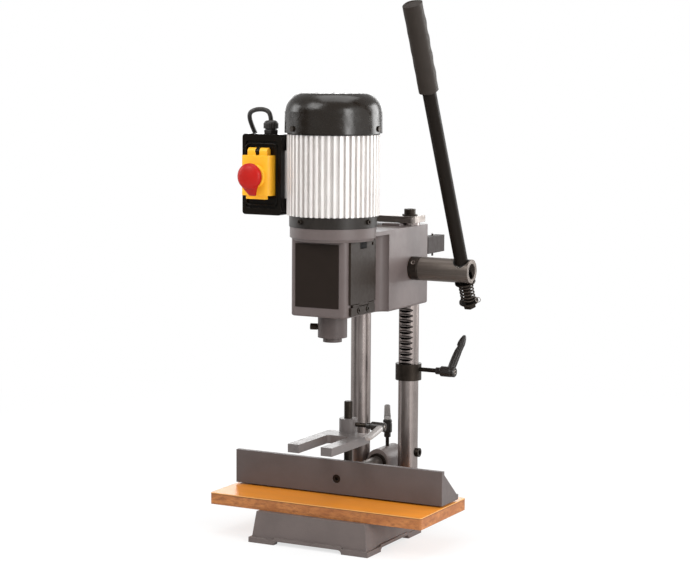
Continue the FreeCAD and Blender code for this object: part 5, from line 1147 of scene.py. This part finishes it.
@dataclass
class LeverFittings:
    """The feed lever: hub ring, rod, ribbed grip, spring, washers and nut."""

    rod: Seat = Seat((ROD_X, HUB_Y, HUB_Z), ROD_ALONG)
    shaft: Seat = Seat((0.0, HUB_Y, HUB_Z), (1.0, 0.0, 0.0), (0.0, -1.0, 0.0))
    ring_out: Point = (0.0, -0.818, 0.575)
    ring_reach: float = 18.2
    grip_low: float = 304.5
    grip_high: float = 442.9
    grip_radius: float = 14.8
    swell: float = 2.8
    swells: int = 4

    def along_rod(self, x: float, y: float, z: float) -> Point:
        """Turn a place on the rod's own axes into the machine's."""
        _, uy, uz = ROD_ALONG
        return (ROD_X + x, HUB_Y + uy * z + uz * y, HUB_Z + uz * z - uy * y)

    def ring(self) -> None:
        """Make the black ring beside the head, the hub's root, and the screw and pin in them."""
        ring = Stock().turned([
            (12.9, 61.5), (17.3, 61.5), (18.3, 62.5), (18.4, 76.2), (17.5, 77.0), (12.9, 77.0),
            (12.9, 61.5),
        ]).piece("hub_collar", self.shaft, Finishes.HUB_BLACK, "pinion", "black_steel")
        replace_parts(ring, "hub_ring")
        Stock().turned([
            (12.9, 77.5), (17.6, 77.5), (18.4, 78.2), (18.4, 86.6), (12.9, 86.6), (12.9, 77.5),
        ]).piece("hub_root", self.shaft, Finishes.HUB_STEEL, "lever", "black_steel")
        _, out_y, out_z = self.ring_out
        at = (69.5, HUB_Y + out_y * self.ring_reach, HUB_Z + out_z * self.ring_reach)
        Stock().turned([(0, -2.4), (1.7, -2.4), (1.9, 0.1), (3.4, 0.5), (3.9, -0.8)], steps=24).piece(
            "collar_grub_screw", Seat(at, self.ring_out), Finishes.PLAIN_STEEL, "pinion", "steel",
        )
        pin = Seat((145.6, HUB_Y - 17.0, HUB_Z + 7.0), (0.0, -0.925, 0.381))
        Stock().turned([
            (0, -1.6), (1.3, -1.6), (1.5, 0.1), (2.3, 0.35), (2.7, -0.6),
        ], steps=24).piece("hub_pin", pin, Finishes.PLAIN_STEEL, "lever", "steel")

    def bar(self) -> None:
        """Make the rod, thick above the hub and thin through it."""
        rod = Stock().turned([
            (0, -66.0), (4.6, -66.0), (5.9, -64.7), (5.9, 15.2), (10.4, 15.2), (10.4, 306), (5.9, 306),
            (5.9, 428), (0, 428),
        ]).piece("lever_bar", self.rod, Finishes.ROD_BLACK, "lever_slider", "black_steel", edge=0.4)
        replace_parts(rod, "lever_rod")

    def grip(self) -> None:
        """Make the grip with finger swells on its rear side and a lipped end."""
        rubber = (Finishes.GRIP_RUBBER, "lever_slider", "grip_rubber")
        low, high, radius = self.grip_low, self.grip_high, self.grip_radius
        count, plain = 52, 16
        rings = [Ring(low, 0, radius - 2.4, radius - 2.4), Ring(low + 0.8, 0, radius - 0.9, radius - 0.9)]
        for step in range(1, count):
            height = low + (high - low) * step / count
            turn = (height - low - plain) / (high - low - plain * 2) * self.swells
            rise = 0.5 - 0.5 * math.cos(math.tau * turn) if 0 <= turn <= self.swells else 0.0
            rear = radius + self.swell * (rise - 0.35)
            rings.append(Ring(height, 0, radius, (radius + rear) / 2, (rear - radius) / 2, 2.05))
        rings += [
            Ring(high, 0, radius - 0.8, radius - 0.8, lean=0.05),
            Ring(high + 0.5, 0, radius - 2.6, radius - 2.6, lean=0.06),
        ]
        grip = Stock().lofted(rings, steps=40).piece("grip", self.rod, *rubber, sharp=50.0)
        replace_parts(grip, "lever_grip")
        Stock().turned([
            (0, high - 1.0), (8.3, high - 1.0), (9.0, high + 1.1), (10.4, high + 1.2), (11.4, high),
        ], steps=40).piece("grip_end_lip", self.rod, *rubber, edge=0.3)

    def washer(self, name: str, body: str, radius: float, top: float) -> None:
        """Make a washer on the rod's thin end.

        Args:
            name: Its name.
            body: The body that carries it.
            radius: Its outer radius at the top.
            top: The height of its upper face.
        """
        bore, low = 6.2, top - 2.6
        Stock().turned([
            (bore, top), (radius, top), (radius + 0.3, low), (bore, low), (bore, top),
        ]).piece(name, self.rod, Finishes.BLACK_STEEL, body, "black_steel", edge=0.3)

    def foot(self) -> None:
        """Make the flange, spring, washer, nut and the loop of the split pin."""
        self.washer("spring_flange", "lever", radius=15.9, top=-18.0)
        spring = Stock().coiled(coil=10.4, wire=1.4, low=-22.1, high=-51.9, turns=5.3).piece(
            "pull_spring", self.rod, Finishes.HUB_BLACK, "lever", "black_steel", sharp=60.0,
        )
        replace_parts(spring, "lever_spring")
        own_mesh(spring)
        self.washer("spring_washer", "lever_slider", radius=14.9, top=-53.0)
        nut = Stock().plate(hexagon(10.4), -64.4, -55.8).piece(
            "tail_nut", self.rod, Finishes.BLACK_STEEL, "lever_slider", "black_steel", edge=1.1,
        )
        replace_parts(nut, "lever_nut")
        loop = Seat(self.along_rod(16.4, 0, -50.5), (0.35, -1.0, 0.0), (0.0, 0.0, 1.0))
        Stock().coiled(coil=3.7, wire=0.55, low=-0.4, high=0.6, turns=1.8).piece(
            "pin_loop", loop, Finishes.PLAIN_STEEL, "lever_slider", "steel", sharp=60.0,
        )

    def build(self) -> None:
        """Make the lever's fittings."""
        self.ring()
        self.bar()
        self.grip()
        self.foot()


@dataclass
class SwitchFace:
    """The switch box's front: raised rim, yellow flap, red paddle and the cable gland."""

    left: float = -131.9
    right: float = -83.7
    low: float = 524.4
    high: float = 584.9
    front: float = -61.2
    back: float = -41.2
    centre: Point = (-107.5, -61.2, 554.2)
    forward: Seat = Seat((0.0, 0.0, 0.0), (0.0, -1.0, 0.0))

    def rim(self) -> None:
        """Make the raised rim round the panel."""
        outer = rounded(-135.2, -79.0, 508.0, 603.0, 8.0)
        inner = rounded(-132.9, -81.3, 510.3, 600.7, 6.0)
        Stock().framed(outer, inner, 40.6, 44.9).piece(
            "panel_rim", self.forward, Finishes.BOX_BLACK, "head", "black_plastic", edge=0.7,
        )

    def flap(self) -> None:
        """Make the flap with its round side, knuckles, lip and boss."""
        yellow = (Finishes.YELLOW, "flap", "yellow_plastic")
        turns = (heading(angle) for angle in range(0, 91, 9))
        corner = [(self.right - 10 + 10 * sin, self.front + 10 - 10 * cos) for cos, sin in turns]
        outline = [
            (self.left, self.back), (self.left, -58.6), (-131.1, -60.5), (-129.3, self.front), *corner,
            (self.right, self.back),
        ]
        flap = Stock().plate(outline, self.low, self.high).opened(1, self.back).piece(
            "flap_tray", Seat((0, 0, 0)), *yellow, edge=0.9, sharp=30.0, wall=2.0,
        )
        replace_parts(flap, "flap_cover")
        knuckle = 5.8
        arc = [(knuckle * cos, knuckle * sin) for cos, sin in (heading(a) for a in range(180, -1, -15))]
        ear = [(knuckle, -9.0), (-knuckle, -9.0), *arc]
        for name, start, end in (("left_knuckle", -126.0, -112.2), ("right_knuckle", -105.4, -91.8)):
            Stock().plate(ear, start, end).piece(
                name, Seat((0, -47.5, 590.5), (1, 0, 0), (0, 1, 0)), *yellow, edge=0.9, sharp=30.0,
            )
        Stock().plate([
            (-109.6, 583.6), (-105.0, 583.6), (-105.0, 594.6), (-106.4, 592.6), (-108.0, 588.0),
        ], 43.8, 50.6).piece("knuckle_shoulder", self.forward, *yellow, edge=0.6, sharp=30.0)
        Stock().plate(
            rounded(-126.5, -89.0, self.front + 3.4, self.front + 7.2, 1.8), self.low - 5.4, self.low + 0.5,
        ).piece("flap_lip", Seat((0, 0, 0)), *yellow, edge=0.6, sharp=30.0)
        boss = Seat(self.centre, (0, -1, 0))
        Stock().turned([
            (7.1, -0.5), (17.6, -0.5), (17.4, 2.2), (16.4, 4.2), (14.6, 4.9), (7.1, 4.9), (7.1, -0.5),
        ], steps=64).piece("flap_boss", boss, *yellow, edge=0.4)

    def paddle(self) -> None:
        """Make the red paddle: a domed disc whose tail sweeps down and back."""
        red = (Finishes.RED, "mushroom", "red_plastic")
        disc = Stock().turned([
            (0, 4.4), (7, 4.4), (7, 13.6), (19.0, 13.6), (19.8, 14.6), (19.9, 17.6), (19.2, 20.2),
            (17.0, 22.4), (13.2, 24.0), (8.0, 25.0), (3.0, 25.4), (0, 25.4),
        ], steps=72).piece("stop_paddle", Seat(self.centre, (0, -1, 0)), *red, sharp=60.0)
        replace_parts(disc, "stop_mushroom")
        down = Seat(self.centre, (0, 0, -1))
        rings = (
            Ring(2, 0, 18.2, 3.2, 18.0, 2.4), Ring(8, 0, 17.6, 3.4, 18.2, 2.4),
            Ring(13, 0, 15.2, 3.6, 17.2, 2.4), Ring(17.5, 0, 12.4, 3.7, 15.4, 2.4),
            Ring(21.5, 0, 10.0, 3.6, 13.0, 2.4), Ring(25.2, 0, 7.9, 3.3, 10.6, 2.4),
            Ring(28, 0, 6.6, 2.7, 8.8, 2.4), Ring(29.4, 0, 5.2, 1.7, 8.0, 2.2),
        )
        Stock().lofted(rings, steps=40).piece("paddle_tail", down, *red, sharp=60.0)

    def gland(self) -> None:
        """Make the cable gland: hexagonal flange, neck, ribbed nut and clawed dome."""
        black = (Finishes.GLAND_BLACK, "head", "black_plastic")
        at = Seat((-103.8, -20.7, 0))
        flange = Stock().plate(hexagon(11.9), 616.6, 622.2).piece("gland_flange", at, *black, edge=0.5)
        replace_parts(flange, "cable_gland")
        Stock().turned([
            (3.7, 622), (8.8, 622), (8.8, 624.6), (3.7, 624.6), (3.7, 622),
        ]).piece("gland_neck", at, *black)
        ribs, count, steps = [], 18, 144
        for step in range(steps):
            angle = math.tau * step / steps
            radius = 11.0 + 0.45 * math.cos(angle * count)
            ribs.append((radius * math.cos(angle), radius * math.sin(angle)))
        Stock().plate(ribs, 624.4, 632.6).piece("gland_nut", at, *black, edge=0.35, sharp=40.0)
        Stock().turned([
            (3.6, 632.4), (10.6, 632.4), (10.2, 633.8), (8.9, 635.6), (6.6, 636.7), (4.4, 637.0),
            (3.6, 636.6), (3.6, 632.4),
        ]).piece("gland_dome", at, *black)

    def build(self) -> None:
        """Make the switch's face."""
        self.rim()
        self.flap()
        self.paddle()
        self.gland()


@dataclass
class MotorTrim:
    """The motor's cover, fins and shield at their full heights, and the bolts round its foot."""

    nodes: dict[str, bpy.types.Object]
    axis_y: float = -13.7
    foot_radius: float = 66.0
    bolt_height: float = 489.7
    bolt_angles: tuple[float, ...] = (-108.6, -10.2, 120.0)

    def trimmed(
        self, name: str, node: str, finish: Finishes, old: float, new: float, grow: float = 1.0,
    ) -> None:
        """Make a fitted piece whose rim ends at another height than its solid's.

        Args:
            name: The new piece's name.
            node: The solid that it stands for.
            finish: Its finish.
            old: The rim's height on the solid, in millimetres.
            new: The rim's height on the piece, in millimetres.
            grow: How much wider the rim is.
        """
        near, middle = 0.0003, self.axis_y * MM
        mesh = self.nodes[node].data.copy()
        mesh.name = name
        mesh.materials.clear()
        for vertex in mesh.vertices:
            if abs(vertex.co.z - old * MM) < near:
                vertex.co.z = new * MM
                vertex.co.x *= grow
                vertex.co.y = middle + (vertex.co.y - middle) * grow
        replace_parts(link(name, mesh, finish, "head"), node)

    def build(self) -> None:
        """Make the motor's trim."""
        self.trimmed("cover_shell", "fan_cover", Finishes.CAP_BLACK, 614.0, 620.0, grow=1.004)
        self.trimmed("finned_barrel", "motor_housing", Finishes.BRIGHT_FINS, 613.5, 617.6)
        self.trimmed(
            "shield_rim", "end_shield", Finishes.RING_BLACK, 613.5, 617.7, grow=0.985,
        )
        for number, angle in enumerate(self.bolt_angles):
            out = (*heading(angle), 0.0)
            at = (out[0] * self.foot_radius, self.axis_y + out[1] * self.foot_radius, self.bolt_height)
            Stock().turned([
                (0, 1.2), (1.7, 1.2), (1.9, 2.9), (3.6, 2.9), (4.0, 2.4), (4.0, -0.6),
            ], steps=24).piece(
                f"foot_bolt_{number}", Seat(at, out, (0, 0, 1)), Finishes.BLACK_STEEL, "head",
                "black_steel",
            )


@dataclass
class DoorTrim:
    """The bit chamber door's catch and screw; the catch fills the door's notch in near black, which also
    stands in for the shade there.
    """

    side: Seat = Seat((0.0, 0.0, 0.0), (1.0, 0.0, 0.0), (0.0, 1.0, 0.0))
    inner: float = 46.3
    outer: float = 49.7
    screw: Point = (50.2, 21.3, 453.6)

    def build(self) -> None:
        """Make the catch, a near-black block that fills the notch as part catch and part painted shade, and
        the small screw above the door.
        """
        # Painted shade: the block fills the whole notch in near black.
        notch = rounded(-20.6, 1.6, 447.6, 458.6, 1.6)
        Stock().plate(notch, self.inner, self.outer).piece(
            "door_catch_and_shade", self.side, Finishes.WELL_BLACK, "head", "black_plastic", edge=0.5,
        )
        Stock().turned([
            (0, 0.2), (0.7, 0.2), (0.8, 1.1), (2.0, 1.1), (2.3, 0.6), (2.3, -0.5),
        ], steps=24).piece(
            "door_screw", Seat(self.screw, self.side.along, self.side.arm), Finishes.BLACK_STEEL, "door",
            "black_steel",
        )


@dataclass
class PowerLead:
    """The mains lead, from the gland to its plug on the floor, with its put-away coil."""

    radius: float = 3.5 * MM
    length: float = 1.8
    exit: Point = (-0.1038, -0.0207, 0.6361)
    coil_centre: Point = (0.0, 0.278, 0.0)
    inner_turn: float = 38.5 * MM
    outer_turn: float = 45.5 * MM
    coil_start: float = 205.0
    turn_steps: int = 16
    route: tuple[Point, ...] = (
        (-0.1038, -0.0207, 0.6361), (-0.1043, -0.0207, 0.6460), (-0.1130, -0.0200, 0.6530),
        (-0.1330, -0.0170, 0.6530), (-0.1510, -0.0080, 0.6460), (-0.1550, 0.0090, 0.6260),
        (-0.1490, 0.0280, 0.5960), (-0.1360, 0.0540, 0.5640), (-0.1170, 0.0840, 0.5340),
        (-0.0940, 0.1160, 0.5080), (-0.0740, 0.1440, 0.4940), (-0.0584, 0.1720, 0.4907),
        (-0.0600, 0.1940, 0.4894), (-0.0640, 0.2070, 0.4680), (-0.0670, 0.2110, 0.4300),
        (-0.0660, 0.2130, 0.3760), (-0.0680, 0.2140, 0.3160), (-0.0670, 0.2170, 0.2560),
        (-0.0690, 0.2180, 0.1960), (-0.0680, 0.2220, 0.1380), (-0.0700, 0.2240, 0.0880),
        (-0.0720, 0.2310, 0.0480), (-0.0670, 0.2460, 0.0170), (-0.0510, 0.2590, 0.0055),
    )

    def turns(self) -> list[Point]:
        """Lay the coil's turns beside and on each other, a diameter apart.

        Returns:
            Sixteen points for each turn, out and up by smooth steps.
        """
        cx, cy, _ = self.coil_centre
        low, high = self.radius, self.radius * 3
        stops = [
            (0.00, self.outer_turn, low), (0.85, self.outer_turn, low), (1.00, self.outer_turn, high),
            (1.80, self.outer_turn, high), (2.00, self.inner_turn, high), (2.80, self.inner_turn, high),
            (3.00, self.inner_turn, low), (3.72, self.inner_turn, low),
        ]
        points: list[Point] = []
        for step in range(1, int(stops[-1][0] * self.turn_steps) + 1):
            turn = step / self.turn_steps
            before, after = next((a, b) for a, b in zip(stops, stops[1:]) if a[0] <= turn <= b[0])
            share = (turn - before[0]) / (after[0] - before[0])
            share = share * share * (3 - 2 * share)
            radius = before[1] + (after[1] - before[1]) * share
            height = before[2] + (after[2] - before[2]) * share
            angle = math.radians(self.coil_start) + turn * math.tau
            points.append((cx + radius * math.cos(angle), cy + radius * math.sin(angle), height))
        return points

    def shaped(self, curve: bpy.types.Curve, thick: float) -> bpy.types.Mesh:
        """Turn the route's curve into a mesh.

        Args:
            curve: The smooth curve.
            thick: The tube's radius, or zero for the bare line.

        Returns:
            The mesh.
        """
        curve.bevel_depth = thick
        draft = placed("lead_draft", curve)
        bpy.context.view_layer.update()
        graph = bpy.context.evaluated_depsgraph_get()
        mesh = bpy.data.meshes.new_from_object(draft.evaluated_get(graph))
        bpy.data.objects.remove(draft)
        return mesh

    def build(self) -> tuple[bpy.types.Object, list[Point]]:
        """Make the lead's tube along one smooth spline.

        Returns:
            The tube and the points of its line.
        """
        curve = bpy.data.curves.new("lead_route", "CURVE")
        curve.dimensions = "3D"
        points = [*self.route, *self.turns()]
        spline = curve.splines.new("NURBS")
        spline.points.add(len(points) - 1)
        for place, point in zip(spline.points, points):
            place.co = (*point, 1.0)
        spline.order_u = 3
        spline.use_endpoint_u = True
        spline.resolution_u = 8
        curve.bevel_resolution = 5
        curve.use_fill_caps = True
        line = self.shaped(curve, 0.0)
        path = [tuple(v.co) for v in line.vertices]
        tube = self.shaped(curve, self.radius)
        tube.name = "power_lead"
        tube.materials.clear()
        tube.materials.append(Finishes.LEAD_BLACK.material())
        for face in tube.polygons:
            face.use_smooth = True
        lead = placed("power_lead", tube)
        bpy.data.curves.remove(curve)
        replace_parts(lead, "power_cord", "cord_coil")
        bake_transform(lead)
        return lead, path


# ---- Studio -------------------------------------------------------------------------------------


@dataclass
class Studio:
    """The camera, lamps, floor and surroundings."""

    eye: Point = (1.39805, -2.61776, 0.72777)
    azimuth: float = 27.873
    pitch: float = 6.383
    roll: float = 0.326
    lens: float = 102.985
    ambient: float = 0.44
    mirrored: float = 0.5
    middle: Point = (0.0, 0.05, 0.4)

    def camera(self) -> None:
        """Set the camera at its measured place and turn."""
        az, down, lean = (math.radians(v) for v in (self.azimuth, self.pitch, self.roll))
        back = Vector((math.sin(az) * math.cos(down), -math.cos(az) * math.cos(down), math.sin(down)))
        level = Vector((math.cos(az), math.sin(az), 0))
        rise = back.cross(level)
        right = level * math.cos(lean) + rise * math.sin(lean)
        up = rise * math.cos(lean) - level * math.sin(lean)
        data = bpy.data.cameras.new("eye")
        data.lens = self.lens
        data.sensor_width = 36
        data.clip_end = 50
        eye = placed("eye", data)
        turn = Matrix((right, up, back)).transposed().to_4x4()
        eye.matrix_world = Matrix.Translation(Vector(self.eye)) @ turn
        bpy.context.scene.camera = eye

    def lamp(self, name: str, place: Point, size: float, power: float) -> None:
        """Hang a soft square lamp that faces the machine.

        Args:
            name: The lamp's name.
            place: Where it hangs.
            size: The length of its side.
            power: Its power in watts.
        """
        data = bpy.data.lights.new(name, "AREA")
        data.size = size
        data.energy = power
        lamp = placed(name, data)
        lamp.location = place
        lamp.rotation_euler = (Vector(self.middle) - Vector(place)).to_track_quat("-Z", "Y").to_euler()

    def surroundings(self) -> None:
        """Make the room white to the eye and in reflections, and soft on the object."""
        world = bpy.data.worlds.new("room")
        world.use_nodes = True
        bpy.context.scene.world = world
        w = Wiring(world.node_tree)
        path = w.node("LightPath")
        seen = w.math("MAXIMUM", path.outputs["Is Camera Ray"], path.outputs["Is Transmission Ray"])
        plain = w.math("SUBTRACT", 1.0, seen)
        mirrored = w.math("MULTIPLY", path.outputs["Is Glossy Ray"], self.mirrored - self.ambient)
        strength = w.math("ADD", seen, w.math("MULTIPLY", plain, w.math("ADD", mirrored, self.ambient)))
        ground = world.node_tree.nodes["Background"]
        w.feed(ground, "Color", (1, 1, 1, 1))
        w.feed(ground, "Strength", strength)

    def sheet(self, name: str, width: float, height: float) -> bpy.types.Object:
        """Make a flat sheet about the scene's middle.

        Args:
            name: Its name.
            width: Its width.
            height: Its height.

        Returns:
            The sheet.
        """
        mesh = bpy.data.meshes.new(name)
        x, y = width / 2, height / 2
        mesh.from_pydata([(-x, -y, 0), (x, -y, 0), (x, y, 0), (-x, y, 0)], [], [(0, 1, 2, 3)])
        return placed(name, mesh)

    def floor(self) -> None:
        """Lay a plain pale floor that keeps the object's shadow."""
        plane = self.sheet("floor", 12.0, 12.0)
        material, w, shader = blank("pale_floor")
        w.feed(shader, "Base Color", (0.86, 0.86, 0.86, 1))
        w.feed(shader, "Roughness", 0.9)
        path = w.node("LightPath")
        seen = w.math("MAXIMUM", path.outputs["Is Camera Ray"], path.outputs["Is Glossy Ray"])
        seen = w.math("MAXIMUM", seen, path.outputs["Is Transmission Ray"])
        bright = w.math("MULTIPLY", path.outputs["Is Glossy Ray"], self.mirrored - 1.0)
        glow = w.node("Emission", Strength=w.math("ADD", bright, 1.0))
        mix = w.node("MixShader")
        away = w.vector("LENGTH", w.place())
        far = w.ramp(away.outputs["Value"], 0.35, 1.5, 0.72, 1.0)
        w.feed(mix, 0, w.math("MULTIPLY", seen, far))
        w.feed(mix, 1, shader.outputs[0])
        w.feed(mix, 2, glow.outputs[0])
        w.feed(w.tree.nodes["Material Output"], "Surface", mix.outputs[0])
        plane.data.materials.append(material)

    def card(
        self, name: str, centre: Point, aim: Point, width: float, height: float, strength: float,
        spin: float = 0.0,
    ) -> None:
        """Stand up a card that only reflections see.

        Args:
            name: The card's name.
            centre: Its middle.
            aim: The point that it faces.
            width: Its width.
            height: Its height.
            strength: How bright it is, zero for a black card.
            spin: Its turn about the upright, in degrees.
        """
        sheet = self.sheet(name, width, height)
        sheet.location = centre
        sheet.rotation_euler = (Vector(aim) - Vector(centre)).to_track_quat("Z", "Y").to_euler()
        sheet.rotation_euler.z += math.radians(spin)
        for ray in ("camera", "diffuse", "transmission", "shadow", "volume_scatter"):
            setattr(sheet, f"visible_{ray}", False)
        material, w, shader = blank(name)
        w.tree.nodes.remove(shader)
        glow = w.node("Emission", Strength=strength)
        w.feed(w.tree.nodes["Material Output"], "Surface", glow.outputs[0])
        sheet.data.materials.append(material)

    def build(self) -> None:
        """Set up the whole studio."""
        self.camera()
        self.surroundings()
        self.floor()
        for card in (
            ("right_card", (1.7, 0.35, 0.7), self.middle, 2.0, 1.4, 1.0),
            ("left_card", (-1.3, -1.2, 0.5), self.middle, 1.0, 1.6, 0.12),
            ("left_glow", (-2.0, 0.85, 0.95), (0.0, 0.0, 0.95), 1.1, 0.9, 0.75),
            ("left_low", (-2.2, 0.35, 0.35), (0.0, 0.0, 0.35), 1.8, 0.3, 2.2),
            ("streak", (1.18, -0.72, 0.002), (1.18, -0.72, 1.0), 0.2, 2.2, 1.5, 53.0),
            ("left_shade", (-1.0, -0.9, 0.0015), (-1.0, -0.9, 1.0), 0.5, 2.2, 0.22, -44.0),
            ("back_low", (-1.2, 2.4, 0.3), (0.0, 0.05, 0.3), 2.4, 0.56, 1.1),
            ("back_high", (-1.2, 2.4, 1.05), (0.0, 0.05, 1.05), 2.4, 0.9, 3.4),
        ):
            self.card(*card)
        for lamp in (
            ("key", (2.4, -0.9, 1.0), 1.3, 50.0), ("fill", (-0.9, -2.0, 2.2), 1.3, 34.5),
            ("left", (-2.2, -0.6, 1.2), 1.0, 16.0), ("rim", (1.7, 2.3, 1.0), 1.6, 60.0),
            ("top", (0.1, 0.1, 2.4), 1.6, 22.0),
        ):
            self.lamp(*lamp)
        bpy.context.scene.view_settings.view_transform = "Standard"


def dress(nodes: dict[str, bpy.types.Object]) -> None:
    """Give every carried solid its finish.

    Args:
        nodes: The solids by name.
    """
    for finish, names in CARRIED.items():
        for name in names:
            skins = nodes[name].data.materials
            skins.clear()
            skins.append(finish.material())
            LOG.info("%s wears %s", name, finish.value.name)


def main() -> None:
    """Build the machine and the studio."""
    logging.basicConfig(level=logging.INFO, format="%(message)s")
    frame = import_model()
    dress(frame["nodes"])
    lead = PowerLead()
    piece, path = lead.build()
    for group in (*clamp_levers(), LeverFittings(), SwitchFace(), MotorTrim(frame["nodes"]), DoorTrim()):
        group.build()
        LOG.info("%s is made", type(group).__name__)
    Studio().build()


if __name__ == "__main__":
    main()
